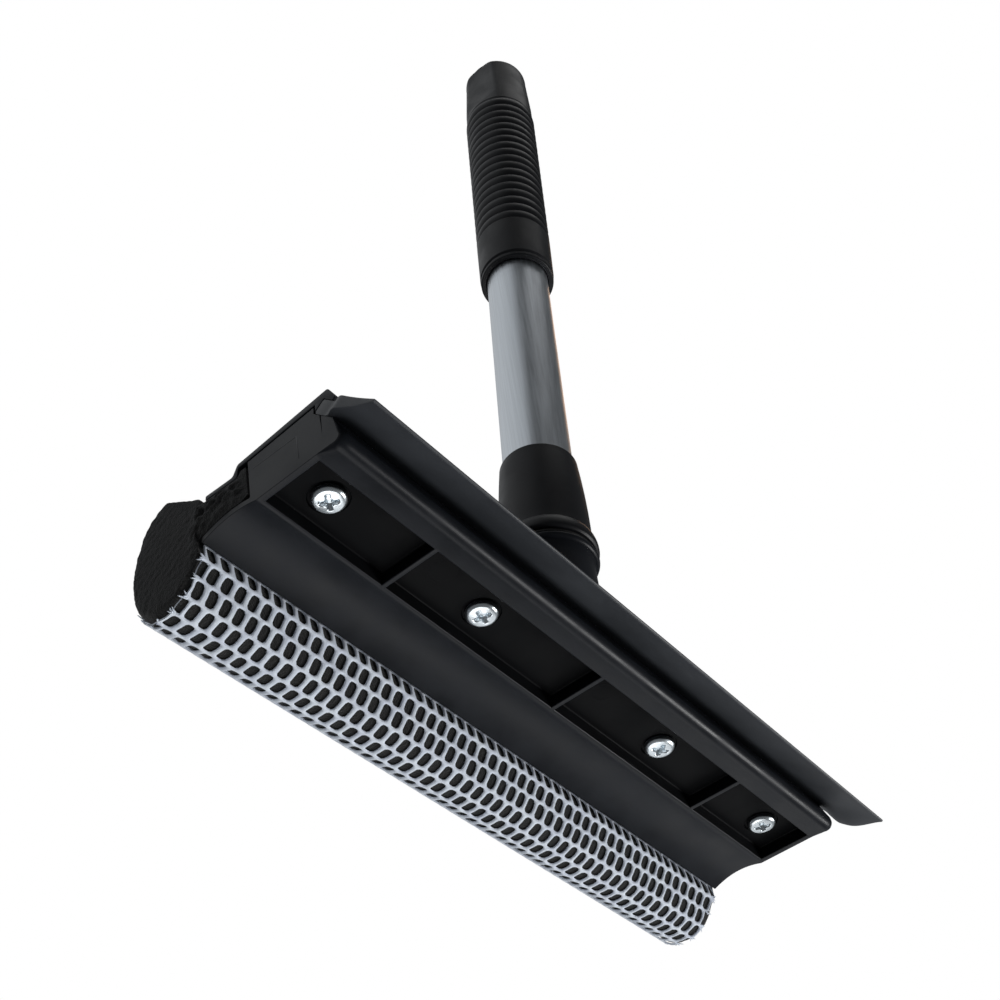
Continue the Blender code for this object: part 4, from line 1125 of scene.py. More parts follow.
# The screws' cross: half its length, its arms' width and its depth
CROSS_REACH = 2.35
CROSS_WIDTH = 1.15
CROSS_DEPTH = 1.5


def screw_shell(place, turn, head):
    """A pan head screw seen from below, with a cross recess, on its plain shank.

    The top is a square grid bent to a disc by x = u (1 - v^2 / 2)^0.5 and likewise for y. Its
    height is a shallow dome that falls off at the rim, less the recess: a cross whose arms
    narrow downwards and rise towards their ends.
    """
    radius = head.screw
    seat = head.trough_depth + SEAT_DEPTH
    arm = CROSS_WIDTH / 2 / radius
    lines = stations([-1.0, -0.93, -0.86, -0.62, -0.54, -arm - 0.045, -arm + 0.01, -arm + 0.06, 0.0,
                      arm - 0.06, arm - 0.01, arm + 0.045, 0.54, 0.62, 0.86, 0.93, 1.0], 0.06)
    u, v = np.meshgrid(lines, lines, indexing="ij")
    x = u * np.sqrt(1 - v ** 2 / 2)
    y = v * np.sqrt(1 - u ** 2 / 2)
    out = np.hypot(x, y)
    dome = 2.4 - 0.42 * out ** 2 - 0.55 * np.clip(out - 0.78, 0.0, 1.0) ** 2 / 0.22 ** 2
    narrow = np.minimum(np.abs(x), np.abs(y)) * radius
    wide = np.maximum(np.abs(x), np.abs(y)) * radius
    walls = np.clip((CROSS_WIDTH / 2 - narrow) / 0.22, 0.0, 1.0)
    floor = CROSS_DEPTH * np.clip((CROSS_REACH - wide) / 1.1, 0.0, 1.0) ** 0.8
    centre = 0.9 * np.clip((1.25 - np.hypot(x, y) * radius) / 0.25, 0.0, 1.0)
    height = dome - np.maximum(walls * floor, centre)
    cosine, sine = math.cos(turn), math.sin(turn)
    disc = np.stack((place + radius * (x * cosine - y * sine), radius * (x * sine + y * cosine),
                     seat - height), axis=-1)
    rim = np.concatenate((disc[:-1, 0], disc[-1, :-1], disc[:0:-1, -1], disc[0, :0:-1]))
    ways = (rim - (place, 0.0, 0.0)) * (1.0, 1.0, 0.0) / radius
    profile = np.array(((4.03, 1.15), (4.03, 0.35), (3.8, 0.05), (2.4, 0.0), (1.95, 0.0),
                        (1.9, -0.3), (1.9, -8.4), (0.35, -9.9)))
    profile[:3, 0] *= radius / 4.0
    rings = [rim] + [ways * reach + (place, 0.0, seat - up) for reach, up in profile]
    shell = Shell()
    shell.grid(disc)
    shell.grid(np.array(rings), close_columns=True)
    shell.polygon(rings[-1])
    return shell


# Foam and net

def lumps(points, seed, size):
    """Return a smooth random height at each point: a sum of sines along random ways."""
    chance = np.random.default_rng(seed)
    ways = unit(chance.normal(size=(24, 3))) * (TAU / size) * chance.uniform(0.6, 1.9, (24, 1))
    phase = chance.uniform(0.0, TAU, 24)
    weight = chance.normal(size=24)
    return np.sin(points @ ways.T + phase) @ weight / 4.9


# How far the foam runs into the clamp, and its rows at each rounded end and between them
FOAM_ROOT = 1.7
FOAM_END_ROWS = 13
FOAM_INNER_ROWS = 148


def foam_shell(head, sponge):
    """The foam bar: the neck between the flanges and the bulb, drawn in and domed at its ends.

    Towards an end a ring is drawn to the bulb's middle by SPONGE_END_SHRINK (1 - cos a) and
    stops short by the rounding times (1 - sin a). The cut end swells a little, and the neck
    swells out between the flanges.
    """
    bulb = bulb_line(head, sponge)
    middle = int(np.argmax(bulb[:, 0]))
    foot_out = COVER_SPONGE_WIDTH - SPONGE_WALL_LEAN + GAP
    under = flange_line(head, FLANGE_WALL + GAP, 25)
    under = under[under[:, 0] > foot_out + 2.0]
    ceiling = BACK_FLANGE - BACK_FLANGE_WALL - GAP
    heel = BACK_HEEL - BACK_FLANGE_WALL - GAP
    floor = float(np.interp(foot_out, *flange_line(head, FLANGE_WALL).T))
    lower = np.vstack(([(foot_out + 0.4, floor + FOAM_ROOT)], under, bulb[:middle + 1]))
    upper = np.vstack(([(COVER_SPONGE_WIDTH + 2 * GAP, ceiling + FOAM_ROOT),
                        (heel - 0.85, ceiling + FOAM_ROOT), (heel, ceiling),
                        (flange_end(head), ceiling + BACK_FLANGE_RISE)], bulb[middle:][::-1]))
    share = np.linspace(0.0, 1.0, 110)
    sides = np.array([along(thinned(line, closed=False), share)[0] for line in (lower, upper)])
    sides[1, -1] = sides[0, -1]
    half = head.body / 2
    free = smoothstep((sides[..., 0] - flange_end(head) + 1.0) / 6.0)[None]
    rounding = 0.6 + (sponge.end_round - 0.6) * free
    angle = np.linspace(0.0, math.pi / 2, FOAM_END_ROWS)

    def rows(end, inner, sign=1):
        """Return a value for each row: an end's, mirrored, on both sides of the inner ones."""
        return np.concatenate((sign * end[::-1], inner, end))[:, None, None]

    zeros = np.zeros(FOAM_INNER_ROWS)
    inner = np.linspace(-half, half, FOAM_INNER_ROWS + 2)[1:-1]
    base = rows(np.full(FOAM_END_ROWS, half), inner, -1)
    inside = rows(np.zeros(FOAM_END_ROWS), np.ones(FOAM_INNER_ROWS))
    taken = rows(1 - np.sin(angle), zeros) * rounding
    x = np.sign(base) * (np.abs(base) * (1 - inside * sponge.end_round / half) - taken)
    drawn = rows(SPONGE_END_SHRINK * (1 - np.cos(angle)), zeros)
    clear = np.maximum(sides[..., 0] - flange_end(head), 0.0)[None]
    out = sides[None, ..., 0] - clear * drawn
    height = sides[None, ..., 1] - (sides[None, ..., 1] - SPONGE_HEIGHT) * drawn * free
    lines = np.stack((np.broadcast_to(x, out.shape), out, height), axis=-1)
    even = lines[[0, -1], :, :, 0].copy()
    rough = lumps(lines.reshape(-1, 3), sponge.seed, 3.2).reshape(out.shape)
    near = smoothstep((np.abs(x) - half + 9.0) / 8.0)
    lines[..., 0] += np.sign(x) * rough * 0.12 * near * free
    lines[..., 2] -= np.sign(height - SPONGE_HEIGHT) * np.abs(rough) * 0.08 * near * free

    def swell(cap, end):
        """Return an end's grid made even, swollen and a little rough."""
        share = np.linspace(0.0, 1.0, cap.shape[0])[:, None]
        away = 4 * share * (1 - share)
        bulb = smoothstep((cap[..., 1] - flange_end(head)) / 5.0)
        bump = lumps(cap.reshape(-1, 3), sponge.seed + 3, 2.6).reshape(away.shape[0], -1)
        full = np.minimum(1.0, 3.0 * away)
        cap[..., 0] += full * (even[end, 0] * (1 - share) + even[end, 1] * share - cap[..., 0])
        place = np.linspace(0.0, 1.0, cap.shape[1])[None]
        window = np.clip(place * 15, 0.0, 1.0) * np.clip((1 - place) * 8, 0.0, 1.0)
        sign = -1.0 if end == 0 else 1.0
        cap[..., 0] += sign * window * (
            0.3 * bulb * away + (1 - bulb) * away * (1.1 + 0.3 * bump) + full * 0.05 * bump)
        return cap

    shell = Shell()
    bar(shell, lines, cap_columns=90, bulge=swell)
    return shell


# The net's height over the foam's surface and its stop short of the head's ends
NET_LIFT = 0.34
NET_MARGIN = 0.3

# Loose threads for each band and end, and the most radius of one
THREADS_EACH = 5
LOOSE_RADIUS = 0.23

# Lowest and highest start across the band, length, slant, curl and lift of a loose thread
THREAD_RANGES = ((-0.35, 0.35), (1.4, 4.0), (-0.7, 0.7), (-0.6, 0.6), (-0.2, 0.7))


def net_warp(x, w, half, phase):
    """Return X places bunched towards the ends: steps shrink by up to a sixth and waver."""
    near = np.clip((np.abs(x) - half + 18.0) / 18.0, 0.0, 1.0)
    waver = 0.2 * near * np.sin(w * 0.9 + phase) + 0.18 * np.sin(x * 0.21 + w * 0.13)
    return x - np.sign(x) * (0.2 * near ** 2) + waver


def net_end(w, total, half):
    """Return how far along the head the net reaches at a run w: less away from the flange."""
    short = np.interp(w / total, (0.0, 0.12, 0.3, 0.5, 1.0), (0.2, 0.9, 1.6, 3.4, 3.0))
    return half - short - 0.25 * np.sin(w * 1.7)


def net_rows(total, sponge):
    """Return how many rows of holes fit in a run."""
    return max(4, round(total / sponge.row_pitch))


def net_cells(head, sponge):
    """Return each cell's outer ring and hole, twelve (x, run) points each, and the run's line.

    The net's lattice has a point every half pitch along each band. Alternate points are drawn
    up and down, so the bands zigzag, more towards the right end. A cell runs round six lattice
    points and the six places midway between them. The hole is a rounded box seen from the
    cell's middle: |x / a|^p + |y / b|^p = 1. Two rings between them round the yarn over.
    """
    line = bulb_line(head, sponge)
    total = float(np.sum(np.linalg.norm(np.diff(line, axis=0), axis=1)))
    rows = net_rows(total, sponge)
    pitch_up = total / rows
    half = head.body / 2 - NET_MARGIN
    columns = int(2 * half / sponge.pitch) + 1
    half_pitch = sponge.pitch / 2
    row, column = np.meshgrid(np.arange(rows), np.arange(columns), indexing="ij")
    middle_x = (column - (columns - 1) / 2) * sponge.pitch + (row % 2 - 0.5) * half_pitch
    middle_w = (row + 0.5) * pitch_up
    middle_x, middle_w = middle_x.ravel(), middle_w.ravel()
    torn = np.random.default_rng(sponge.seed + 2).uniform(0.0, 1.5, len(middle_x))
    kept = np.abs(middle_x) < net_end(middle_w, total, half) + 0.8 - torn
    middle_x, middle_w = middle_x[kept], middle_w[kept]
    steps_x = np.array((-1.0, 0.0, 1.0, 1.0, 0.0, -1.0)) * half_pitch
    steps_w = np.array((-1.0, -1.0, -1.0, 1.0, 1.0, 1.0)) * pitch_up / 2
    zigzag = np.array((1.0, -1.0, 1.0, -1.0, 1.0, -1.0))
    share_x = (middle_x / half + 1) / 2
    corner_x = middle_x[:, None] + steps_x
    sway = 0.16 + 0.24 * smoothstep((corner_x / half + 1) / 2)
    corner_w = np.clip(middle_w[:, None] + steps_w + zigzag * sway, 0.0, total)
    end = net_end(corner_w, total, half)
    corner_x = np.clip(corner_x, -end, end)
    middle_x = np.mean(corner_x, axis=1)
    next_x, next_w = np.roll(corner_x, -1, axis=1), np.roll(corner_w, -1, axis=1)
    outer = np.stack((np.stack((corner_x, corner_w), -1),
                      np.stack(((corner_x + next_x) / 2, (corner_w + next_w) / 2), -1)), axis=2)
    outer = outer.reshape(len(middle_x), 12, 2)
    middle = np.stack((middle_x, middle_w), -1)[:, None]
    side = outer - middle
    wide = (sponge.hole / 2 * (0.92 + 0.16 * share_x))[:, None]
    tall = pitch_up / 2 - 0.3
    power = (4.2 - 1.4 * share_x)[:, None]
    reach = (np.abs(side[..., 0] / wide) ** power + np.abs(side[..., 1] / tall) ** power) ** (
        -1 / power)
    hole = middle + side * np.minimum(reach, 0.97)[..., None]
    return outer, hole, line, total, half


def net_shell(head, sponge):
    """The net: yarn round every hole, higher in its middle, wrapped round the foam.

    A low wall closes each outer edge that only one cell has.
    """
    outer, hole, line, total, half = net_cells(head, sponge)
    phase = np.random.default_rng(sponge.seed).uniform(0.0, TAU)
    shares = np.array((0.0, 0.45, 0.8, 1.0))[:, None, None]
    heights = np.array((1.0, 0.93, 0.62, 0.28))[:, None]
    rings = outer[:, None] * (1 - shares) + hole[:, None] * shares
    levels = np.broadcast_to(heights, rings.shape[:3])
    under = rings[:, ::-1][:, ::3]
    rings = np.concatenate((rings, under), axis=1)
    levels = np.concatenate((levels, np.zeros(under.shape[:3])), axis=1)
    rings = np.concatenate((rings, rings[:, :, :1]), axis=2)
    levels = np.concatenate((levels, levels[:, :, :1]), axis=2)
    x = net_warp(rings[..., 0], rings[..., 1], half, phase)
    points, out = along(line, rings[..., 1] / total)
    placed = with_x(x, points + out * (NET_LIFT + sponge.yarn * levels)[..., None])
    shell = Shell()
    shell.grid(placed)
    top, bottom = placed[:, 0], placed[:, -1]
    middles = np.round((top[:, 1:] + top[:, :-1]).reshape(-1, 3) / 2, 3)
    _, which, seen = np.unique(middles, axis=0, return_inverse=True, return_counts=True)
    alone = (seen[which.ravel()] == 1).reshape(top.shape[0], -1)
    cell, edge = np.nonzero(alone)
    shell.grid(np.stack([np.stack((side[cell, edge], side[cell, edge + 1]), axis=1)
                         for side in (top, bottom)], axis=1))
    return shell, line, total, half


def thread_shell(shell, line, total, half, sponge):
    """Frayed threads at both cut ends: thin tubes that run out from the bands between rows."""
    chance = np.random.default_rng(sponge.seed + 11)
    rows = net_rows(total, sponge)
    many = 2 * THREADS_EACH * (rows - 1)
    number = np.arange(many)
    share = np.linspace(0.0, 1.0, 7)[None, :, None]
    turn = np.linspace(0.0, TAU, 7)[None, None, :]
    sign = np.where(number % 2, 1.0, -1.0)[:, None, None]
    band = ((1 + (number // 2) % (rows - 1)) * total / rows)[:, None, None]
    start, reach, slant, curl, lift = (chance.uniform(low, high, (many, 1, 1))
                                       for low, high in THREAD_RANGES)
    start = band + start
    radius = LOOSE_RADIUS * (1 - 0.5 * share) * ((share > 0.01) & (share < 0.99))
    x = sign * (net_end(start, total, half) - 1.6 + 0.7 * reach * share)
    w = start + slant * share + curl * share ** 2 + radius * np.cos(turn)
    level = 0.5 + 0.6 * lift * share + radius * np.sin(turn)
    points, out = along(line, np.clip(w, 0.3, total - 0.3) / total)
    shell.grid(with_x(x, points + out * level[..., None]))


# Pieces of the handle

# Heights along its axis
WASHER_FOOT = NECK_TOP + GAP
WASHER_HEIGHT = 0.8
FERRULE_FOOT = WASHER_FOOT + WASHER_HEIGHT + GAP
FERRULE_TOP = FERRULE_FOOT + 35.8
TUBE_FOOT = FERRULE_FOOT + 6.3
GRIP_FOOT = FERRULE_TOP + 93.9
GRIP_TOP = GRIP_FOOT + 140.0
TUBE_TOP = GRIP_TOP - 33.3

# The shank's thread, the spigot in the tube, the grip's smooth band and half its flats' spacing
THREAD_DEPTH = 1.1
THREAD_TURNS = 4.5
SPIGOT_LENGTH = 15.0
BAND_LENGTH = 22.5
FLAT_HALF = 10.5


def ring_shell(profile, segments, swell=None):
    """Turn a closed profile into a shell."""
    shell = Shell()
    shell.grid(turned(profile, segments, swell), close_rows=True, close_columns=True)
    return shell


def ferrule_shell(handle):
    """The ferrule: its waisted sleeve and lip, the spigot in the tube and the threaded shank.

    On the shank the radius is the root's, plus the thread's depth where the height, less the
    angle's share of a pitch, lies near a whole number of pitches. The thread dies away over a
    quarter of a turn at both ends.
    """
    lip_radius, foot_radius = 14.3, 12.9
    root = THREAD_RADIUS - THREAD_DEPTH
    shank_foot = max(FERRULE_FOOT - handle.pitch * 5.1 - 3.2, SOCKET_FLOOR + 1.0)
    bore, spigot, web = handle.tube + GAP, handle.tube - handle.wall - GAP, FERRULE_FOOT + 6.0
    lip = FERRULE_FOOT + 5.4
    share = np.linspace(0.0, 1.0, 22)
    side_radius = (handle.ferrule_foot + (handle.ferrule_top - handle.ferrule_foot) * share
                   + 0.35 * 4 * share * (1 - share))
    side = np.column_stack((side_radius, lip + 0.15 + (FERRULE_TOP - 1.6 - lip) * share))
    shank = np.linspace(shank_foot + 0.8, FERRULE_FOOT - 0.5, 150)
    inside = 5.5
    turn = np.linspace(-0.5, 1.0, 16) * math.pi / 2
    swell = np.where(turn > 0, 4.2, 1.2)
    bulge = np.column_stack((foot_radius + (lip_radius - foot_radius) * np.cos(turn) ** 1.5,
                             FERRULE_FOOT + 1.0 + swell * np.sin(turn)))
    profile = filleted([
        (inside, shank_foot, 0.2), (root - 0.8, shank_foot, 0.25),
        *sharp((root, height) for height in shank),
        (root, FERRULE_FOOT, 0.2), (lip_radius - 0.75, FERRULE_FOOT, 0.2),
        *sharp(bulge),
        *sharp(side[1:]),
        (handle.ferrule_top - 0.1, FERRULE_TOP, 1.1), (bore, FERRULE_TOP, 0.25),
        (bore, web, 0.2), (spigot, web, 0.2), (spigot, web + SPIGOT_LENGTH, 0.4),
        (inside, web + SPIGOT_LENGTH, 0.3),
    ], steps=5, hold=0.12)

    def threaded(radius, height, angle):
        """Return the radius with the thread's crest on the shank."""
        first = shank_foot + 1.6 + 0.3 * handle.pitch
        turns = (height - first) / handle.pitch - angle / TAU
        off = np.abs(turns - np.round(turns)) * handle.pitch
        crest = np.clip((0.3 * handle.pitch - off) / (0.18 * handle.pitch), 0.0, 1.0)
        which = np.round(turns) + angle / TAU
        alive = smoothstep((which + 0.02) / 0.25) * smoothstep((THREAD_TURNS - which) / 0.25)
        on_shank = (height > shank_foot + 0.7) & (height < FERRULE_FOOT - 0.3) & (
            np.abs(radius - root) < 0.05)
        return radius + np.where(on_shank, THREAD_DEPTH * crest * alive, 0.0)

    return ring_shell(profile, 120, threaded)


def grip_shell(handle):
    """The grip: smooth band, round ribs that grow a little upwards, two flats, closed end.

    Over one pitch a rib's height is the square root of a half sine. Above the ribs |x| is kept
    under FLAT_HALF.
    """
    ribs_foot = GRIP_FOOT + BAND_LENGTH
    ribs_top = ribs_foot + handle.ribs * handle.rib_pitch
    run = np.linspace(0.0, 1.0, handle.ribs * 14 + 1)
    wave = np.sqrt(np.abs(np.sin(math.pi * (run * handle.ribs))))
    wave = np.clip((wave - 0.28) / 0.72, 0.0, 1.0)
    radius = handle.grip + 0.55 * run - handle.rib_height * (1 - wave)
    ribs = np.column_stack((radius, ribs_foot + run * (ribs_top - ribs_foot)))
    bore = handle.tube + GAP
    profile = filleted([
        (bore, GRIP_FOOT, 0.3), (12.4, GRIP_FOOT, 0.6), (12.4, GRIP_FOOT + 1.5, 0.3),
        (12.05, GRIP_FOOT + 1.9, 0.2), (12.05, GRIP_FOOT + 2.3, 0.2),
        (12.6, GRIP_FOOT + 2.9, 0.4), (handle.grip, ribs_foot - 0.6, 0.4),
        *sharp(ribs),
        (13.0, ribs_top + 1.0, 0.6), (13.0, ribs_top + 8.0, 0.0),
        (12.2, GRIP_TOP - 5.0, 0.0), (12.2, GRIP_TOP, 3.4),
        (0.0, GRIP_TOP, 0.0), (0.0, TUBE_TOP + GAP, 0.0), (bore, TUBE_TOP + GAP, 0.4),
    ], steps=9, hold=0.15)
    on_axis = np.where(profile[:, 0] < 1e-6)[0]
    bottom = on_axis[np.argmin(profile[on_axis, 1])]
    points = turned(np.roll(profile, -bottom, axis=0), 144)
    above = smoothstep((points[..., 2] - ribs_top - 1.3) / 0.5)
    outside = np.hypot(points[..., 0], points[..., 1]) > handle.tube + 0.6
    limit = np.where(outside, FLAT_HALF + 4.0 * (1 - above), 99.0)
    points[..., 0] = np.clip(points[..., 0], -limit, limit)
    shell = Shell()
    shell.grid(points, close_columns=True)
    return shell


def tube_profile(handle):
    """Return the tube's wall as a closed profile with broken edges."""
    inner, edge = handle.tube - handle.wall, 0.2
    wall = filleted([(handle.tube, TUBE_FOOT, edge), (handle.tube, TUBE_TOP, edge),
                     (inner, TUBE_TOP, edge), (inner, TUBE_FOOT, edge)], steps=3)
    return spaced(wall, 12.0, closed=True)


def washer_profile():
    """Return the washer's section: flat faces with rounded rims."""
    inner, outer, top = 9.7, 13.2, WASHER_FOOT + WASHER_HEIGHT
    return filleted([(inner, WASHER_FOOT, 0.15), (outer, WASHER_FOOT, 0.35), (outer, top, 0.35),
                     (inner, top, 0.15)], steps=4, hold=0.1)


# Operators, one for each piece or group of like pieces

class MakerOperator:
    """What every operator here shares."""
    bl_options = {"REGISTER", "UNDO"}


class SQUEEGEE_OT_front_cover(MakerOperator, bpy.types.Operator):
    """Build the front cover with its ribbed trough, bead and coved flange."""
    bl_idname = "squeegee.front_cover"
    bl_label = "Front Cover"

    def execute(self, context):
        head = sizes("head")
        shell = cover_shell(head, sizes("blade"))
        end_lines(shell, head)
        mesh = shell.mesh("front_cover_skin", head_place, 38.0)
        add_piece("front_cover_skin", mesh, finish(black_plastic), "head", "black_plastic",
                  "front_cover")
        # The trough's faces take a second plastic, darkened as painted shade of the recess.
        mesh.materials.append(finish(pocket_plastic))
        mesh.polygons.foreach_set("material_index", in_trough(mesh, head).astype(np.int32))
        return {"FINISHED"}


class SQUEEGEE_OT_back_housing(MakerOperator, bpy.types.Operator):
    """Build the back housing with its neck and collar."""
    bl_idname = "squeegee.back_housing"
    bl_label = "Back Housing"

    def execute(self, context):
        head = sizes("head")
        body = housing_shell(head).mesh("housing_bar", head_place)
        neck = neck_shell(head).mesh("housing_neck", axis_place)
        mesh = joined(body, neck)
        mesh.name = "back_housing_skin"
        add_piece("back_housing_skin", mesh, finish(black_plastic), "head", "black_plastic",
                  "back_housing")
        return {"FINISHED"}


class SQUEEGEE_OT_blade(MakerOperator, bpy.types.Operator):
    """Build the tapered rubber blade."""
    bl_idname = "squeegee.blade"
    bl_label = "Rubber Blade"

    def execute(self, context):
        shell = blade_shell(sizes("head"), sizes("blade"))
        mesh = shell.mesh("blade_strip", head_place, 50.0)
        add_piece("blade_strip", mesh, finish(blade_rubber), "head", "blade_rubber",
                  "rubber_blade")
        return {"FINISHED"}


SCREW_TURNS = (0.62, 0.25, 1.05, 0.4)


class SQUEEGEE_OT_screws(MakerOperator, bpy.types.Operator):
    """Build the four cover screws."""
    bl_idname = "squeegee.screws"
    bl_label = "Cover Screws"

    def execute(self, context):
        head = sizes("head")
        for number, (place, turn) in enumerate(zip(SCREW_PLACES, SCREW_TURNS), 1):
            name = f"pan_screw_{number}"
            mesh = screw_shell(place, turn, head).mesh(name, head_place, 40.0)
            add_piece(name, mesh, finish(zinc_steel), "head", "zinc_steel",
                      f"cover_screw_{number}")
        return {"FINISHED"}


class SQUEEGEE_OT_foam(MakerOperator, bpy.types.Operator):
    """Build the foam bar."""
    bl_idname = "squeegee.foam"
    bl_label = "Foam Bar"

    def execute(self, context):
        shell = foam_shell(sizes("head"), sizes("sponge"))
        mesh = shell.mesh("foam_bar", head_place, 60.0)
        piece = add_piece("foam_bar", mesh, finish(charcoal_foam), "head", "charcoal_foam",
                          "foam_sponge")
        return {"FINISHED"}


class SQUEEGEE_OT_net(MakerOperator, bpy.types.Operator):
    """Build the knitted net round the foam."""
    bl_idname = "squeegee.net"
    bl_label = "Net Sleeve"

    def execute(self, context):
        sponge = sizes("sponge")
        shell, line, total, half = net_shell(sizes("head"), sponge)
        thread_shell(shell, line, total, half, sponge)
        mesh = shell.mesh("net_mesh", head_place, 60.0)
        piece = add_piece("net_mesh", mesh, finish(white_net), "head", "white_net", "net_sleeve")
        return {"FINISHED"}


class SQUEEGEE_OT_ferrule(MakerOperator, bpy.types.Operator):
    """Build the ferrule with its threaded shank, and the washer under it."""
    bl_idname = "squeegee.ferrule"
    bl_label = "Ferrule and Washer"

    def execute(self, context):
        handle = sizes("handle")
        mesh = ferrule_shell(handle).mesh("ferrule_skin", axis_place, 40.0)
        add_piece("ferrule_skin", mesh, finish(grip_plastic), "handle", "grip_plastic",
                  "handle_ferrule")
        mesh = ring_shell(washer_profile(), 96).mesh("washer_ring", axis_place, 50.0)
        add_piece("washer_ring", mesh, finish(sealing_rubber), "washer", "sealing_rubber",
                  "ferrule_washer")
        return {"FINISHED"}


class SQUEEGEE_OT_tube(MakerOperator, bpy.types.Operator):
    """Build the drawn tube."""
    bl_idname = "squeegee.tube"
    bl_label = "Handle Tube"

    def execute(self, context):
        profile = tube_profile(sizes("handle"))
        mesh = ring_shell(profile, 128).mesh("tube_skin", axis_place, 40.0)
        add_piece("tube_skin", mesh, finish(satin_aluminium), "handle", "satin_aluminium",
                  "handle_tube")
        return {"FINISHED"}


class SQUEEGEE_OT_grip(MakerOperator, bpy.types.Operator):
    """Build the ribbed grip."""
    bl_idname = "squeegee.grip"
    bl_label = "Grip"

    def execute(self, context):
        mesh = grip_shell(sizes("handle")).mesh("grip_skin", axis_place, 42.0)
        add_piece("grip_skin", mesh, finish(grip_plastic), "handle", "grip_plastic",
                  "grip_sleeve")
        return {"FINISHED"}


# Stage

CAMERA_PLACE = (-231.3, -148.43, -207.46)
CAMERA_RIGHT = (0.636, -0.765, -0.102)
CAMERA_UP = (-0.528, -0.528, 0.665)
CAMERA_LENS = 49.98
FLOOR_HALF = 4.0
FLOOR_HEIGHT = -0.0004
MIDDLE = (0.0, -0.01, 0.06)
WHITE = (1.0, 1.0, 1.0)

# Lamps as name, place, aim, side, watts and colour, in metres
LAMPS = (
    ("blade_side_lamp", (0.87, -0.75, -0.56), MIDDLE, 0.4, 9.0, WHITE),
    ("grip_lamp", (0.074, -0.297, 1.017), (0.0, -0.02, 0.27), 0.5, 0.65, WHITE),
    ("under_lamp", (0.2, 0.45, -1.35), MIDDLE, 1.2, 8.0, WHITE),
    ("far_lamp", (1.05, 0.55, -0.75), MIDDLE, 0.7, 0.9, WHITE),
    ("top_lamp", (-0.4, 1.1, 1.5), MIDDLE, 2.0, 1.2, WHITE),
    ("warm_lamp", (0.95, 0.1, 1.35), (0.0, -0.01, 0.15), 0.25, 0.45, (1.0, 0.62, 0.38)),
)


def camera_matrix():
    """Return the camera's place and turn from its right and up ways."""
    right = Vector(CAMERA_RIGHT).normalized()
    back = right.cross(Vector(CAMERA_UP)).normalized()
    up = back.cross(right)
    turn = Matrix((right, up, back)).transposed().to_4x4()
    return Matrix.Translation(Vector(CAMERA_PLACE) * MM) @ turn


def add_lamp(name, place, aim, side, watts, colour):
    """Add a soft square lamp at a place, in metres, that faces another."""
    data = bpy.data.lights.new(name, "AREA")
    data.shape = "RECTANGLE"
    data.size = data.size_y = side
    data.energy = watts
    data.color = colour
    item = bpy.data.objects.new(name, data)
    item.location = place
    item.rotation_euler = (Vector(aim) - Vector(place)).to_track_quat("-Z", "Y").to_euler()
    bpy.context.scene.collection.objects.link(item)


def floor_material():
    """Pale floor with the object's shadow, seen only from above; all other light passes it."""
    made = bpy.data.materials.new("pale_floor")
    made.use_nodes = True
    tree = made.node_tree
    shader = feed(tree, tree.nodes["Principled BSDF"], {
        "Base Color": (*paint("floor"), 1.0), "Roughness": 0.9, "Specular IOR Level": 0.1})
    clear = add(tree, "ShaderNodeBsdfTransparent")
    back = add(tree, "ShaderNodeNewGeometry").outputs["Backfacing"]
    seen = add(tree, "ShaderNodeLightPath").outputs["Is Camera Ray"]
    front = sum_of(tree, "SUBTRACT", seen, back, clamp=True)
    mix = add(tree, "ShaderNodeMixShader", {0: front, 1: clear.outputs[0], 2: shader.outputs[0]})
    feed(tree, tree.nodes["Material Output"], {"Surface": mix.outputs[0]})
    return made


def white_world():
    """White behind the object; for its light, a soft dome that is brighter on one side."""
    world = bpy.data.worlds.new("studio")
    bpy.context.scene.world = world
    world.use_nodes = True
    tree = world.node_tree
    tree.nodes.clear()
    seen = add(tree, "ShaderNodeLightPath").outputs["Is Camera Ray"]
    way = add(tree, "ShaderNodeTexCoord").outputs["Generated"]
    side, ahead = (add(tree, "ShaderNodeVectorMath", {0: way, 1: towards},
                       operation="DOT_PRODUCT").outputs["Value"]
                   for towards in ((-0.35, 0.94, 0.0), (0.9, 0.3, -0.3)))
    height = add(tree, "ShaderNodeSeparateXYZ", {0: way}).outputs["Z"]
    above = ranged(tree, side, -0.16, 0.10, 0.09, 0.46)
    below = ranged(tree, ahead, 0.7, 0.97, 0.12, 0.32)
    level = add(tree, "ShaderNodeMix", {0: ranged(tree, height, -0.15, 0.12), 2: below, 3: above},
                data_type="FLOAT").outputs[0]
    light, white = (add(tree, "ShaderNodeBackground", {"Color": (*colour, 1.0),
                                                       "Strength": strength}).outputs[0]
                    for colour, strength in (((0.94, 0.97, 1.0), level), (WHITE, 1.0)))
    mix = add(tree, "ShaderNodeMixShader", {0: seen, 1: light, 2: white}).outputs[0]
    add(tree, "ShaderNodeOutputWorld", {"Surface": mix})


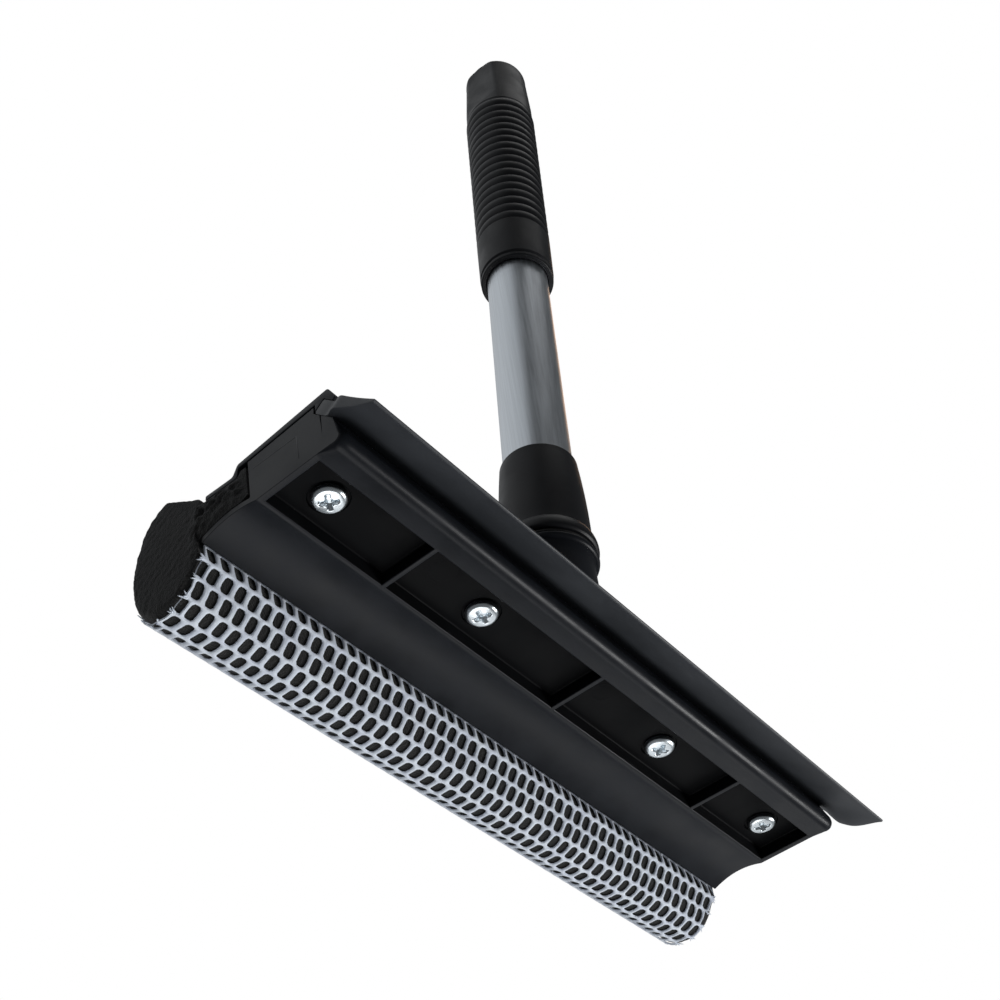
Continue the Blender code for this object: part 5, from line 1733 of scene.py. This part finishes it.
class SQUEEGEE_OT_stage(MakerOperator, bpy.types.Operator):
    """Set up the floor, the lamps, the world and the camera."""
    bl_idname = "squeegee.stage"
    bl_label = "Stage"

    def execute(self, context):
        scene = context.scene
        mesh = bpy.data.meshes.new("floor")
        corners = ((-1, -1), (1, -1), (1, 1), (-1, 1))
        mesh.from_pydata([(x * FLOOR_HALF, y * FLOOR_HALF, FLOOR_HEIGHT) for x, y in corners],
                         [], [(0, 1, 2, 3)])
        mesh.materials.append(floor_material())
        floor = bpy.data.objects.new("floor", mesh)
        scene.collection.objects.link(floor)
        for lamp in LAMPS:
            add_lamp(*lamp)
        white_world()
        data = bpy.data.cameras.new("camera")
        data.lens = CAMERA_LENS
        data.sensor_width = 36.0
        data.sensor_fit = "HORIZONTAL"
        data.clip_start = 0.01
        data.clip_end = 20.0
        camera = bpy.data.objects.new("camera", data)
        camera.matrix_world = camera_matrix()
        scene.collection.objects.link(camera)
        scene.camera = camera
        scene.view_settings.view_transform = "Standard"
        return {"FINISHED"}


class SQUEEGEE_PT_panel(bpy.types.Panel):
    """Buttons that build the squeegee, and the sizes behind them."""
    bl_idname = "SQUEEGEE_PT_panel"
    bl_label = "Glass Squeegee"
    bl_space_type = "VIEW_3D"
    bl_region_type = "UI"
    bl_category = "Squeegee"

    def draw(self, context):
        for maker in MAKERS:
            self.layout.operator(maker.bl_idname)
        for name in GROUPS:
            box = self.layout.box()
            group = getattr(context.scene, name)
            for key in group.__annotations__:
                box.prop(group, key)


GROUPS = {"squeegee_head": HeadSizes, "squeegee_blade": BladeSizes,
          "squeegee_sponge": SpongeSizes, "squeegee_handle": HandleSizes,
          "squeegee_finishes": Finishes}
MAKERS = (SQUEEGEE_OT_front_cover, SQUEEGEE_OT_back_housing, SQUEEGEE_OT_blade,
          SQUEEGEE_OT_screws, SQUEEGEE_OT_foam, SQUEEGEE_OT_net, SQUEEGEE_OT_ferrule,
          SQUEEGEE_OT_tube, SQUEEGEE_OT_grip, SQUEEGEE_OT_stage)


def register():
    """Register the classes and hang the property groups on the scene."""
    for made in (*GROUPS.values(), *MAKERS, SQUEEGEE_PT_panel):
        bpy.utils.register_class(made)
    for name, group in GROUPS.items():
        setattr(bpy.types.Scene, name, PointerProperty(type=group))


def unregister():
    """Undo register."""
    for name in GROUPS:
        delattr(bpy.types.Scene, name)
    for made in reversed((*GROUPS.values(), *MAKERS, SQUEEGEE_PT_panel)):
        bpy.utils.unregister_class(made)


def main():
    register()
    for maker in MAKERS:
        group, name = maker.bl_idname.split(".")
        getattr(getattr(bpy.ops, group), name)()


if __name__ == "__main__":
    main()
